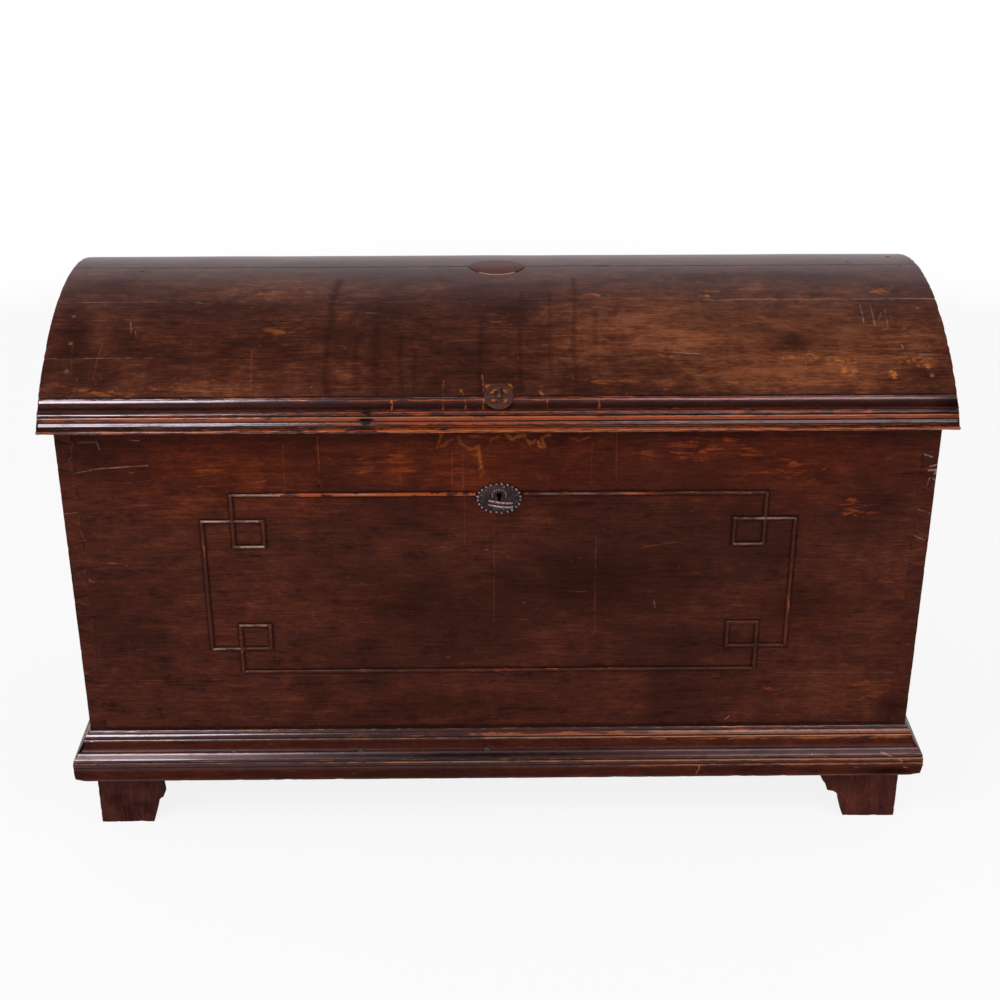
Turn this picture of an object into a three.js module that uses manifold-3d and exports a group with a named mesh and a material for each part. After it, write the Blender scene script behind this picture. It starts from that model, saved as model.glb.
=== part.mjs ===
// A domed coffer chest: a dovetailed board carcass on a moulded plinth and bracket feet, with a
// coopered lid on two strap hinges, and a box lock behind a beaded escutcheon.
// Millimetres, +Z up, the front towards -Y. The origin is on the floor, under the middle of the chest.

import * as THREE from 'three';
import { mergeVertices } from 'three/addons/utils/BufferGeometryUtils.js';
import Module from 'manifold-3d';

const wasm = await Module();
wasm.setup();

// The chest as a whole
const BODY_LENGTH = 1266;
const BODY_DEPTH = 556;
const RIM_HEIGHT = 691;
const FOOT_HEIGHT = 98;
const BOARD = 24;
const BOTTOM_BOARD = 18;
const GAP = 0.3;
const OVERRUN = 5;

// Dovetails at the four upright corners
const PIN_PITCH = 44;
const PIN_NARROW = 6;
const PIN_WIDE = 22;

// The domed lid
const LID_RISE = 136;
const LID_END_OVERHANG = 17;
const LID_FRONT_OVERHANG = 32;
const LID_BACK_OVERHANG = 20;
const DOME_EDGE_HEIGHT = 37.3;
const DOME_EDGE_INSET = 6.75;
const STAVE_THICKNESS = 20;

// Plinth and feet
const PLINTH_HEIGHT = 76;
const PLINTH_REACH = 28;
const FOOT_LENGTH = 128;
const FOOT_BLOCK = 38;

// The strip pattern on the front
const PANEL_LENGTH = 778;
const PANEL_TOP_DROP = 113;
const PANEL_BOTTOM_RISE = 106;
const KNOT_COLUMN = 44.5;
const TOP_KNOT_ROW = 42;
const BOTTOM_KNOT_ROW = 40.5;
const STRIP_WIDTH = 6;
const STRIP_RISE = 3.5;

// Lock and escutcheon
const ESCUTCHEON_LENGTH = 67;
const ESCUTCHEON_HEIGHT = 51;
const ESCUTCHEON_DROP = 120;
const KEY_DROP = 115;
const BOLT_THROW = 14;

// Hinges
const HINGE_INSET = 200;
const HINGE_WIDTH = 40;
const HINGE_IRON = 3;
const BARREL_RADIUS = 6;

// Places worked out from the sizes above
const halfLength = BODY_LENGTH / 2;
const halfDepth = BODY_DEPTH / 2;
const innerHalfLength = halfLength - BOARD;
const innerHalfDepth = halfDepth - BOARD;
const bottomTop = FOOT_HEIGHT + BOTTOM_BOARD;
const carcassBottom = bottomTop + GAP;
const plinthTop = FOOT_HEIGHT + PLINTH_HEIGHT;
const lidBottom = RIM_HEIGHT + GAP;
const lidHalfLength = halfLength + LID_END_OVERHANG;
const domeEdgeY = halfDepth - DOME_EDGE_INSET;
const domeEdgeZ = RIM_HEIGHT + DOME_EDGE_HEIGHT;
const domeSagitta = LID_RISE - DOME_EDGE_HEIGHT;
const domeRadius = (domeEdgeY ** 2 + domeSagitta ** 2) / (2 * domeSagitta);
const domeInnerRadius = domeRadius - STAVE_THICKNESS;
const domeCentreZ = RIM_HEIGHT + LID_RISE - domeRadius;
const domeHalfAngle = Math.asin(domeEdgeY / domeRadius);
const hingeAxisY = halfDepth + GAP + HINGE_IRON;
const hingeAxisZ = RIM_HEIGHT;
const hingeX = halfLength - HINGE_INSET;

// Finishes

function finish(color, roughness, metalness) {
  return () => new THREE.MeshStandardMaterial({ color, roughness, metalness });
}

const darkWood = finish('#4a2014', 0.32, 0);
const lidWood = finish('#552d1a', 0.3, 0);
const wornWood = finish('#6a3219', 0.36, 0);
const plainWood = finish('#6e5138', 0.75, 0);
const blackIron = finish('#2b2729', 0.55, 0.85);
const agedBronze = finish('#4a4046', 0.42, 0.9);

// Solids from outlines

const AXIS_X = new THREE.Vector3(1, 0, 0);
const AXIS_Y = new THREE.Vector3(0, 1, 0);
const AXIS_Z = new THREE.Vector3(0, 0, 1);

function solidFrom(positions, triangles) {
  return new wasm.Manifold(new wasm.Mesh({ numProp: 3, vertProperties: positions, triVerts: triangles }));
}

function solidOf(geometry) {
  const bare = geometry.index ? geometry.toNonIndexed() : geometry.clone();
  bare.deleteAttribute('normal');
  bare.deleteAttribute('uv');
  const merged = mergeVertices(bare);
  return solidFrom(merged.attributes.position.array, new Uint32Array(merged.index.array));
}

function prism(outline, length, holes) {
  const shape = new THREE.Shape(outline);
  for (const hole of holes) {
    shape.holes.push(new THREE.Path(hole));
  }
  return new THREE.ExtrudeGeometry(shape, { depth: length, bevelEnabled: false });
}

// An outline of (Y, Z) points, run along X
function alongX(outline, from, to, holes = []) {
  const geometry = prism(outline, to - from, holes);
  geometry.applyMatrix4(new THREE.Matrix4().makeBasis(AXIS_Y, AXIS_Z, AXIS_X));
  return solidOf(geometry.translate(from, 0, 0));
}

// An outline of (X, Z) points, run along Y
function alongY(outline, from, to, holes = []) {
  const geometry = prism(outline, to - from, holes);
  geometry.applyMatrix4(new THREE.Matrix4().makeBasis(AXIS_X, AXIS_Z, AXIS_Y.clone().negate()));
  return solidOf(geometry.translate(0, to, 0));
}

// An outline of (X, Y) points, run along Z
function alongZ(outline, from, to, holes = []) {
  return solidOf(prism(outline, to - from, holes).translate(0, 0, from));
}

function boxBetween([x0, x1], [y0, y1], [z0, z1]) {
  const geometry = new THREE.BoxGeometry(x1 - x0, y1 - y0, z1 - z0);
  return solidOf(geometry.translate((x0 + x1) / 2, (y0 + y1) / 2, (z0 + z1) / 2));
}

function points(pairs) {
  return pairs.map(([u, v]) => new THREE.Vector2(u, v));
}

function oval([u, v], radiusU, radiusV, sides) {
  const ring = [];
  for (let i = 0; i < sides; i += 1) {
    const turn = (2 * Math.PI * i) / sides;
    ring.push(new THREE.Vector2(u + radiusU * Math.cos(turn), v + radiusV * Math.sin(turn)));
  }
  return ring;
}

function circle(centre, radius, sides) {
  return oval(centre, radius, radius, sides);
}

// Follows rows of shares: two values are a corner, four are a curve's control point and its end.
const CURVE_STEPS = 5;

function outlineOf(rowShares, place) {
  const path = new THREE.Path();
  rowShares.forEach((row, index) => {
    const spots = [];
    for (let i = 0; i < row.length; i += 2) {
      spots.push(...place(row[i], row[i + 1]));
    }
    if (index === 0) {
      path.moveTo(...spots);
    } else if (row.length === 2) {
      path.lineTo(...spots);
    } else {
      path.quadraticCurveTo(...spots);
    }
  });
  return path.getPoints(CURVE_STEPS);
}

// A profile run along straight lengths with mitred corners. A profile row is [distance to the left
// of the path, height]. The points before and after the path set the mitres at its two ends.
function mitred(path, rows, place, before, after) {
  const whole = points([before, ...path, after]);
  const profile = THREE.ShapeUtils.isClockWise(points(rows)) ? [...rows].reverse() : rows;
  const corners = profile.length;
  const spots = [];
  for (let i = 1; i < whole.length - 1; i += 1) {
    const into = whole[i].clone().sub(whole[i - 1]).normalize();
    const out = whole[i + 1].clone().sub(whole[i]).normalize();
    const left = new THREE.Vector2(-into.y - out.y, into.x + out.x).divideScalar(1 + into.dot(out));
    for (const [side, height] of profile) {
      spots.push(...place(whole[i].x + left.x * side, whole[i].y + left.y * side, height));
    }
  }
  const triangles = [];
  for (let ring = 0; ring < path.length - 1; ring += 1) {
    for (let k = 0; k < corners; k += 1) {
      const a = ring * corners + k;
      const b = ring * corners + ((k + 1) % corners);
      triangles.push(a, b, b + corners, a, b + corners, a + corners);
    }
  }
  const last = (path.length - 1) * corners;
  for (const [a, b, c] of THREE.ShapeUtils.triangulateShape(points(profile), [])) {
    triangles.push(a, c, b, last + a, last + b, last + c);
  }
  return facingOut(new Float32Array(spots), triangles);
}

function facingOut(positions, triangles) {
  const made = solidFrom(positions, new Uint32Array(triangles));
  if (made.volume() > 0) {
    return made;
  }
  return solidFrom(positions, new Uint32Array(triangles).reverse());
}

// Shortens a path's end by the share of the gap that its mitre takes.
const MITRE_TRIM = GAP / Math.SQRT2;

function towards([x, y], [aimX, aimY], distance) {
  const aim = new THREE.Vector2(aimX - x, aimY - y).setLength(distance);
  return [x + aim.x, y + aim.y];
}

// One named mesh for each piece

function piece(name, solid, material) {
  const { vertProperties, triVerts } = solid.getMesh();
  const geometry = new THREE.BufferGeometry();
  geometry.setAttribute('position', new THREE.BufferAttribute(new Float32Array(vertProperties), 3));
  geometry.setIndex(new THREE.BufferAttribute(new Uint32Array(triVerts), 1));
  const flat = geometry.toNonIndexed();
  flat.computeVertexNormals();
  const mesh = new THREE.Mesh(flat, material());
  mesh.name = name;
  return mesh;
}

function grouped(...children) {
  const group = new THREE.Group();
  group.add(...children);
  return group;
}

const ENDS = [
  { side: 'left', sign: -1 },
  { side: 'right', sign: 1 },
];

// Puts the lower of two values first.
function span(a, b) {
  return a < b ? [a, b] : [b, a];
}

// Dovetailed carcass. The front and back boards carry the tails, the side boards the pins.

const carcassHeight = RIM_HEIGHT - carcassBottom;
const pinCount = Math.max(1, Math.round(carcassHeight / PIN_PITCH));
const pinPitch = carcassHeight / pinCount;

function pinHeights() {
  const heights = [];
  for (let i = 0; i < pinCount; i += 1) {
    heights.push(carcassBottom + (i + 1 / 2) * pinPitch);
  }
  return heights;
}

// The pin's four corners, in (X, Z): narrow at the chest's end, wide at the inner baseline.
function pinOutline(z, sign, spare, baseline) {
  const narrow = PIN_NARROW / 2 + spare;
  const wide = PIN_WIDE / 2 + spare;
  return [
    [sign * halfLength, z - narrow],
    [sign * baseline, z - wide],
    [sign * baseline, z + wide],
    [sign * halfLength, z + narrow],
  ];
}

function tailBoardOutline() {
  const baseline = innerHalfLength - GAP;
  const heights = pinHeights();
  const right = heights.flatMap((z) => pinOutline(z, 1, 0, baseline));
  const left = heights.flatMap((z) => pinOutline(z, -1, 0, baseline)).reverse();
  return points([
    [-halfLength, carcassBottom],
    [halfLength, carcassBottom],
    ...right,
    [halfLength, RIM_HEIGHT],
    [-halfLength, RIM_HEIGHT],
    ...left,
  ]);
}

function sideBoard({ side, sign }) {
  const reach = innerHalfDepth - GAP;
  let board = boxBetween(
    span(sign * innerHalfLength, sign * halfLength),
    [-reach, reach],
    [carcassBottom, RIM_HEIGHT],
  );
  for (const z of pinHeights()) {
    const outline = points(pinOutline(z, sign, -GAP, innerHalfLength));
    board = board.add(alongY(outline, -halfDepth, -reach + OVERRUN));
    board = board.add(alongY(outline, reach - OVERRUN, halfDepth));
  }
  return piece(`side_board_${side}`, board, darkWood);
}

// Keyhole: a round eye with a slot for the bit below it, through the front board and escutcheon

const KEYHOLE_RADIUS = 4.5;
const KEYHOLE_SLOT = 5;
const KEYHOLE_LENGTH = 12;
const KEYHOLE_SIDES = 20;
const keyZ = RIM_HEIGHT - KEY_DROP;

function keyhole(from, to) {
  const slot = KEYHOLE_SLOT / 2;
  const eye = alongY(circle([0, keyZ], KEYHOLE_RADIUS, KEYHOLE_SIDES), from, to);
  return eye.add(boxBetween([-slot, slot], [from, to], [keyZ - KEYHOLE_LENGTH, keyZ]));
}

// Nails through the front moulding of the plinth

const NAIL_SHANK_RADIUS = 2;
const NAIL_HEAD_RADIUS = 4.5;
const NAIL_HEAD = 2;
const NAIL_GRIP = 18;
const NAIL_RISE = 47;
const NAIL_SEAT = 17;
const NAIL_PITCH = 196;
const NAIL_OFFSET = -19;
const NAIL_COUNT = 3;
const NAIL_SIDES = 10;
const nailZ = FOOT_HEIGHT + NAIL_RISE;
const nailPlaces = Array.from({ length: NAIL_COUNT }, (_, i) => NAIL_OFFSET - i * NAIL_PITCH);

function nailHole(x) {
  const hole = circle([x, nailZ], NAIL_SHANK_RADIUS + GAP, NAIL_SIDES);
  return alongY(hole, -halfDepth - PLINTH_REACH - OVERRUN, -halfDepth + NAIL_GRIP + GAP);
}

function nailSeat(x) {
  const seat = circle([x, nailZ], NAIL_HEAD_RADIUS + GAP, NAIL_SIDES);
  return alongY(seat, -halfDepth - PLINTH_REACH - OVERRUN, -halfDepth - NAIL_SEAT);
}

function plinthNail(x, index) {
  const seatY = -halfDepth - NAIL_SEAT - GAP;
  const shank = alongY(circle([x, nailZ], NAIL_SHANK_RADIUS, NAIL_SIDES), seatY, -halfDepth + NAIL_GRIP);
  const head = alongY(circle([x, nailZ], NAIL_HEAD_RADIUS, NAIL_SIDES), seatY - NAIL_HEAD, seatY);
  return piece(`plinth_nail_${index + 1}`, shank.add(head), blackIron);
}

// Pins of the escutcheon

const PIN_SHANK_RADIUS = 1;
const PIN_HEAD_RADIUS = 2.2;
const PIN_HEAD = 1;
const PIN_GRIP = 12;
const PIN_INSET = 7.5;
const PIN_SIDES = 10;
const escutcheonZ = RIM_HEIGHT - ESCUTCHEON_DROP;
const pinX = ESCUTCHEON_LENGTH / 2 - PIN_INSET;

function pinHole(sign) {
  const hole = circle([sign * pinX, escutcheonZ], PIN_SHANK_RADIUS + GAP, PIN_SIDES);
  return alongY(hole, -halfDepth - OVERRUN, -halfDepth + PIN_GRIP + GAP);
}

function frontBoard() {
  let board = alongY(tailBoardOutline(), -halfDepth, -innerHalfDepth);
  board = board.subtract(keyhole(-halfDepth - OVERRUN, -innerHalfDepth + OVERRUN));
  for (const x of nailPlaces) {
    board = board.subtract(nailHole(x));
  }
  for (const { sign } of ENDS) {
    board = board.subtract(pinHole(sign));
  }
  return piece('front_board', board, darkWood);
}

// The top edge of the back board is notched for the two hinge barrels.
const barrelRoom = BARREL_RADIUS + GAP;
const hingeRoom = HINGE_WIDTH / 2 + GAP;

function barrelNotch(x, top) {
  return boxBetween(
    [x - hingeRoom, x + hingeRoom],
    [hingeAxisY - barrelRoom, halfDepth + LID_BACK_OVERHANG + OVERRUN],
    [hingeAxisZ - barrelRoom, top],
  );
}

function backBoard() {
  let board = alongY(tailBoardOutline(), innerHalfDepth, halfDepth);
  for (const { sign } of ENDS) {
    board = board.subtract(barrelNotch(sign * hingeX, RIM_HEIGHT + OVERRUN));
  }
  return piece('back_board', board, darkWood);
}

// The bottom is three planks side by side, nailed up under the carcass.
const BOTTOM_COUNT = 3;

function bottomBoards() {
  const width = BODY_DEPTH / BOTTOM_COUNT;
  const boards = [];
  for (let i = 0; i < BOTTOM_COUNT; i += 1) {
    const front = -halfDepth + i * width + (i > 0 ? GAP / 2 : 0);
    const back = -halfDepth + (i + 1) * width - (i < BOTTOM_COUNT - 1 ? GAP / 2 : 0);
    const board = boxBetween([-halfLength, halfLength], [front, back], [FOOT_HEIGHT, bottomTop]);
    boards.push(piece(`bottom_board_${i + 1}`, board, plainWood));
  }
  return boards;
}

// Plinth moulding: shares of its reach and height, from the floor side of its back round to the top
const plinthShares = [
  [0, 0],
  [1, 0],
  [1, 0.34],
  [1.0, 0.46, 0.82, 0.5],
  [0.68, 0.5],
  [0.66, 0.54],
  [0.45, 0.6, 0.4, 0.78],
  [0.31, 0.8],
  [0.47, 0.81, 0.42, 0.87],
  [0.38, 0.93, 0.28, 0.93],
  [0.16, 1],
  [0, 1],
];

function plinthProfile(sign) {
  const reach = PLINTH_REACH - GAP;
  const place = (out, up) => [GAP + out * reach, FOOT_HEIGHT + up * PLINTH_HEIGHT];
  return outlineOf(plinthShares, place).map((spot) => [sign * spot.x, spot.y]);
}

function plinth() {
  const place = (x, y, z) => [x, y, z];
  const frontLeft = [-halfLength, -halfDepth];
  const frontRight = [halfLength, -halfDepth];
  const front = [
    towards(frontLeft, frontRight, MITRE_TRIM),
    towards(frontRight, frontLeft, MITRE_TRIM),
  ];
  const backLeft = [-halfLength, halfDepth];
  const backRight = [halfLength, halfDepth];
  let moulding = mitred(
    front,
    plinthProfile(-1),
    place,
    [front[0][0], halfDepth],
    [front[1][0], halfDepth],
  );
  for (const x of nailPlaces) {
    moulding = moulding.subtract(nailHole(x)).subtract(nailSeat(x));
  }
  const sides = ENDS.map(({ side, sign }) => {
    const near = towards([sign * halfLength, -halfDepth], sign < 0 ? backLeft : backRight, MITRE_TRIM);
    const far = [sign * halfLength, halfDepth];
    const beyond = [sign * halfLength, halfDepth + OVERRUN];
    const solid = mitred([near, far], plinthProfile(-sign), place, [0, near[1]], beyond);
    return piece(`plinth_${side}`, solid, wornWood);
  });
  return [piece('plinth_front', moulding, wornWood), ...sides];
}

// Bracket feet: shares of the foot's length and height, down its shaped inner edge
const bracketShares = [
  [1, 1],
  [0.985, 0.72, 0.885, 0.63],
  [0.87, 0.51],
  [0.79, 0.487],
  [0.71, 0.44, 0.689, 0.21],
  [0.644, 0],
];

// The feet at the back are plain, with one straight sloping edge.
const plainFootShares = [
  [0.86, 1],
  [0.644, 0],
];

function footOutline(rowShares, startShare, place) {
  const height = FOOT_HEIGHT - GAP;
  const shaped = outlineOf(rowShares, (along, up) => [along * FOOT_LENGTH, up * height]);
  const edge = [[startShare * FOOT_LENGTH, 0], [startShare * FOOT_LENGTH, height]];
  const whole = [...edge, ...shaped.map((spot) => [spot.x, spot.y])];
  return points(whole.map(([along, up]) => [place(along), up]));
}

function foot(end, front) {
  const name = `${front ? 'front' : 'back'}_${end.side}`;
  const across = front ? -1 : 1;
  const faceShares = front ? bracketShares : plainFootShares;
  const sideStartShare = (BOARD + GAP) / FOOT_LENGTH;
  const face = alongY(
    footOutline(faceShares, 0, (along) => end.sign * (halfLength - along)),
    ...span(across * halfDepth, across * innerHalfDepth),
  );
  const side = alongX(
    footOutline(bracketShares, sideStartShare, (along) => across * (halfDepth - along)),
    ...span(end.sign * halfLength, end.sign * innerHalfLength),
  );
  const blockX = innerHalfLength - GAP;
  const blockY = innerHalfDepth - GAP;
  const block = boxBetween(
    span(end.sign * blockX, end.sign * (blockX - FOOT_BLOCK)),
    span(across * blockY, across * (blockY - FOOT_BLOCK)),
    [0, FOOT_HEIGHT - GAP],
  );
  return [
    piece(`foot_${name}_face`, face, darkWood),
    piece(`foot_${name}_side`, side, darkWood),
    piece(`foot_${name}_block`, block, plainWood),
  ];
}

// Half-round strips on the front: a rectangle whose line turns back on itself at each corner

const STRIP_STEPS = 6;
const panelHalf = PANEL_LENGTH / 2;
const panelTop = RIM_HEIGHT - PANEL_TOP_DROP;
const panelBottom = plinthTop + PANEL_BOTTOM_RISE;
const outerColumn = panelHalf + KNOT_COLUMN;
const innerColumn = panelHalf - KNOT_COLUMN;

function stripProfile() {
  const profile = [];
  for (let i = 0; i <= STRIP_STEPS; i += 1) {
    const turn = (Math.PI * i) / STRIP_STEPS;
    profile.push([(STRIP_WIDTH / 2) * Math.cos(turn), STRIP_RISE * Math.sin(turn)]);
  }
  return profile;
}

function strip(path, before, after) {
  const place = (x, z, rise) => [x, -halfDepth - GAP - rise, z];
  return mitred(path, stripProfile(), place, before, after);
}

// A strip with a mitre towards the neighbour at each end
function mitredStrip(start, end, before, after) {
  const trimmed = [towards(start, end, MITRE_TRIM), towards(end, start, MITRE_TRIM)];
  return strip(trimmed, before, after);
}

function knot(sign, startZ, row) {
  const inner = sign * innerColumn;
  const middle = sign * panelHalf;
  const outer = sign * outerColumn;
  const rowZ = startZ + row;
  const farZ = rowZ + row;
  const splitZ = (rowZ + farZ) / 2;
  const start = towards([middle, startZ], [middle, farZ], MITRE_TRIM);
  const end = towards([outer, rowZ], [inner, rowZ], MITRE_TRIM);
  const square = [start, [middle, farZ], [inner, farZ], [inner, splitZ]];
  const hook = [[inner, splitZ + Math.sign(row) * STRIP_WIDTH / 2], [inner, rowZ], end];
  const first = strip(square, [0, start[1]], [inner, rowZ]);
  const second = strip(hook, [inner, farZ], [end[0], farZ]);
  return first.add(second);
}

function panelStrips() {
  const topRow = panelTop - TOP_KNOT_ROW;
  const bottomRow = panelBottom + BOTTOM_KNOT_ROW;
  const escutcheonEdge = ESCUTCHEON_LENGTH / 2 + GAP;
  const strips = ENDS.flatMap(({ side, sign }) => {
    const square = [sign * escutcheonEdge, panelTop];
    const corner = towards([sign * panelHalf, panelTop], square, MITRE_TRIM);
    const top = strip([corner, square], [corner[0], panelBottom], [0, panelTop]);
    const upright = mitredStrip(
      [sign * outerColumn, topRow],
      [sign * outerColumn, bottomRow],
      [0, topRow - MITRE_TRIM],
      [0, bottomRow + MITRE_TRIM],
    );
    return [
      piece(`strip_top_${side}`, top, darkWood),
      piece(`strip_${side}`, upright, darkWood),
      piece(`knot_top_${side}`, knot(sign, panelTop, -TOP_KNOT_ROW), darkWood),
      piece(`knot_bottom_${side}`, knot(sign, panelBottom, BOTTOM_KNOT_ROW), darkWood),
    ];
  });
  const bottomLeft = [-panelHalf, panelBottom];
  const bottomRight = [panelHalf, panelBottom];
  const bottom = mitredStrip(
    bottomLeft,
    bottomRight,
    [-panelHalf + MITRE_TRIM, panelTop],
    [panelHalf - MITRE_TRIM, panelTop],
  );
  return [...strips, piece('strip_bottom', bottom, darkWood)];
}

// Escutcheon: an oval plate with a rim of beads, a beaded arch over the keyhole and two swags below

const PLATE = 1.6;
const RIM_BEADS = 30;
const RIM_BEAD_RADIUS = 2.3;
const ARCH_BEADS = 9;
const ARCH_BEAD_RADIUS = 1.5;
const ARCH_RADIUS = 10.5;
const BEAD_SIDES = 8;
const BEAD_RINGS = 6;
const SWAG_LENGTH = 38;
const SWAG_WIDTH = 3.4;
const SWAG_SAG = 5;
const SWAG_RISE = 2;
const SWAG_PITCH = 6;
const SWAG_DROP = 7;
const PLATE_SIDES = 48;
const plateFrontY = -halfDepth - GAP - PLATE;

function bead(x, z, radius) {
  const ball = new THREE.SphereGeometry(radius, BEAD_SIDES, BEAD_RINGS);
  return solidOf(ball.rotateX(Math.PI / 2).translate(x, plateFrontY, z));
}

function swag(drop) {
  const centreZ = escutcheonZ - drop;
  const reach = SWAG_LENGTH / 2;
  const path = new THREE.Path();
  path.moveTo(-reach, centreZ);
  path.quadraticCurveTo(0, centreZ - SWAG_SAG, reach, centreZ);
  path.lineTo(reach, centreZ - SWAG_WIDTH);
  path.quadraticCurveTo(0, centreZ - SWAG_SAG - SWAG_WIDTH, -reach, centreZ - SWAG_WIDTH);
  return alongY(path.getPoints(CURVE_STEPS), plateFrontY - SWAG_RISE, plateFrontY + PLATE / 2);
}

function escutcheon() {
  const halfWide = ESCUTCHEON_LENGTH / 2 - RIM_BEAD_RADIUS;
  const halfHigh = ESCUTCHEON_HEIGHT / 2 - RIM_BEAD_RADIUS;
  const centre = [0, escutcheonZ];
  let plate = alongY(oval(centre, halfWide, halfHigh, PLATE_SIDES), plateFrontY, -halfDepth - GAP);
  for (const spot of oval(centre, halfWide, halfHigh, RIM_BEADS)) {
    plate = plate.add(bead(spot.x, spot.y, RIM_BEAD_RADIUS));
  }
  for (let i = 0; i < ARCH_BEADS; i += 1) {
    const turn = (Math.PI * i) / (ARCH_BEADS - 1);
    plate = plate.add(
      bead(ARCH_RADIUS * Math.cos(turn), keyZ + ARCH_RADIUS * Math.sin(turn), ARCH_BEAD_RADIUS),
    );
  }
  plate = plate.add(swag(SWAG_DROP)).add(swag(SWAG_DROP + SWAG_PITCH));
  plate = plate.subtract(
    boxBetween(
      [-ESCUTCHEON_LENGTH, ESCUTCHEON_LENGTH],
      [-halfDepth - GAP, -halfDepth + OVERRUN],
      [escutcheonZ - ESCUTCHEON_HEIGHT, escutcheonZ + ESCUTCHEON_HEIGHT],
    ),
  );
  plate = plate.subtract(keyhole(-halfDepth - OVERRUN, -halfDepth));
  for (const { sign } of ENDS) {
    plate = plate.subtract(pinHole(sign));
  }
  return piece('escutcheon', plate, agedBronze);
}

function escutcheonPin({ side, sign }) {
  const centre = [sign * pinX, escutcheonZ];
  const seatY = plateFrontY - GAP;
  const shank = alongY(circle(centre, PIN_SHANK_RADIUS, PIN_SIDES), seatY, -halfDepth + PIN_GRIP);
  const head = alongY(circle(centre, PIN_HEAD_RADIUS, PIN_SIDES), seatY - PIN_HEAD, seatY);
  return piece(`escutcheon_pin_${side}`, shank.add(head), agedBronze);
}

// Box lock on the inside of the front board. Its sliding bolt passes through the lid's keeper.

const LOCK_LENGTH = 110;
const LOCK_TOP_DROP = 6;
const LOCK_BELOW_KEY = 26;
const LOCK_DEPTH = 28;
const LOCK_IRON = 2;
const LOCK_FLANGE = 10;
const KEY_POST_RADIUS = 2;
const BOLT_THICKNESS = 6;
const BOLT_BAR = 10;
const BOLT_ARM = 10;
const BOLT_TALON = 8;
const KEEPER_THICKNESS = 8;
const KEEPER_DEPTH = 16;
const KEEPER_WALL = 4;
const KEEPER_REACH = 49;
const KEEPER_SWING = 3;
const KEEPER_PLATE_LENGTH = 36;
const KEEPER_PLATE_HEIGHT = 13;
const EYE_HEIGHT = 14;
const BOLT_PLAY = 2.5;
const GUIDE_LENGTH = 10;
const GUIDE_WALL = 5;

const lockFrontY = -innerHalfDepth + GAP;
const lockBackY = lockFrontY + LOCK_DEPTH;
const lockTop = RIM_HEIGHT - LOCK_TOP_DROP;
const lockBottom = keyZ - LOCK_BELOW_KEY;
const keeperFrontY = lockFrontY + LOCK_IRON + KEEPER_SWING;
const keeperBackY = keeperFrontY + KEEPER_DEPTH;
const keeperBottom = RIM_HEIGHT - KEEPER_REACH;
const eyeBottom = keeperBottom + KEEPER_WALL;
const boltFrontY = (keeperFrontY + keeperBackY - BOLT_THICKNESS) / 2;
const boltBackY = boltFrontY + BOLT_THICKNESS;
const barBottom = eyeBottom + (EYE_HEIGHT - BOLT_BAR) / 2;
const barTop = barBottom + BOLT_BAR;
const boltTipX = KEEPER_THICKNESS / 2 + BOLT_PLAY;
const armLeftX = boltTipX + BOLT_THROW;
const armRightX = armLeftX + BOLT_ARM;
const guideLeftX = armRightX + BOLT_PLAY;
const guideRightX = guideLeftX + GUIDE_LENGTH;
const boltRightX = guideLeftX + BOLT_THROW + BOLT_PLAY;
const footBarBottom = keyZ + KEYHOLE_RADIUS;
const footBarTop = footBarBottom + BOLT_BAR;

// A bracket on the case's back wall that the bolt's bar slides through
function boltGuide(low, high) {
  const block = boxBetween(
    [guideLeftX, guideRightX],
    [boltFrontY - GAP, lockBackY - LOCK_IRON / 2],
    [low - GAP - GUIDE_WALL, high + GAP + GUIDE_WALL],
  );
  return block.subtract(
    boxBetween(
      [guideLeftX - OVERRUN, guideRightX + OVERRUN],
      [boltFrontY - OVERRUN, boltBackY + GAP],
      [low - GAP, high + GAP],
    ),
  );
}

function lockCase() {
  const half = LOCK_LENGTH / 2;
  const flange = half + LOCK_FLANGE;
  let shell = boxBetween([-half, half], [lockFrontY, lockBackY], [lockBottom, lockTop]);
  shell = shell.add(
    boxBetween(
      [-flange, flange],
      [lockFrontY, lockFrontY + LOCK_IRON],
      [lockBottom - LOCK_FLANGE, lockTop],
    ),
  );
  shell = shell.subtract(
    boxBetween(
      [-half + LOCK_IRON, half - LOCK_IRON],
      [lockFrontY - OVERRUN, lockBackY - LOCK_IRON],
      [lockBottom + LOCK_IRON, lockTop - LOCK_IRON],
    ),
  );
  const slot = KEEPER_THICKNESS / 2 + KEEPER_SWING;
  shell = shell.subtract(
    boxBetween(
      [-slot, slot],
      [keeperFrontY - KEEPER_SWING, keeperBackY + KEEPER_SWING],
      [lockTop - LOCK_IRON - OVERRUN, lockTop + OVERRUN],
    ),
  );
  shell = shell.add(boltGuide(barBottom, barTop)).add(boltGuide(footBarBottom, footBarTop));
  const post = circle([0, keyZ], KEY_POST_RADIUS, PIN_SIDES);
  shell = shell.add(alongY(post, lockFrontY + LOCK_IRON, lockBackY - LOCK_IRON / 2));
  return piece('lock_case', shell, blackIron);
}

function lockBolt() {
  const talonLeft = -BOLT_TALON / 2 - BOLT_TALON;
  const outline = points([
    [boltTipX, barTop],
    [boltTipX, barBottom],
    [armLeftX, barBottom],
    [armLeftX, footBarTop],
    [talonLeft, footBarTop],
    [talonLeft, footBarBottom],
    [-BOLT_TALON / 2, footBarBottom],
    [-BOLT_TALON / 2, footBarBottom + BOLT_BAR / 2],
    [BOLT_TALON / 2, footBarBottom + BOLT_BAR / 2],
    [BOLT_TALON / 2, footBarBottom],
    [boltRightX, footBarBottom],
    [boltRightX, footBarTop],
    [armRightX, footBarTop],
    [armRightX, barBottom],
    [boltRightX, barBottom],
    [boltRightX, barTop],
  ]);
  return piece('lock_bolt', alongY(outline, boltFrontY, boltBackY), blackIron);
}

// A leaf spring from the case's side wall, pressing on top of the bolt
const SPRING_IRON = 1;
const SPRING_RISE = 8;

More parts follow.
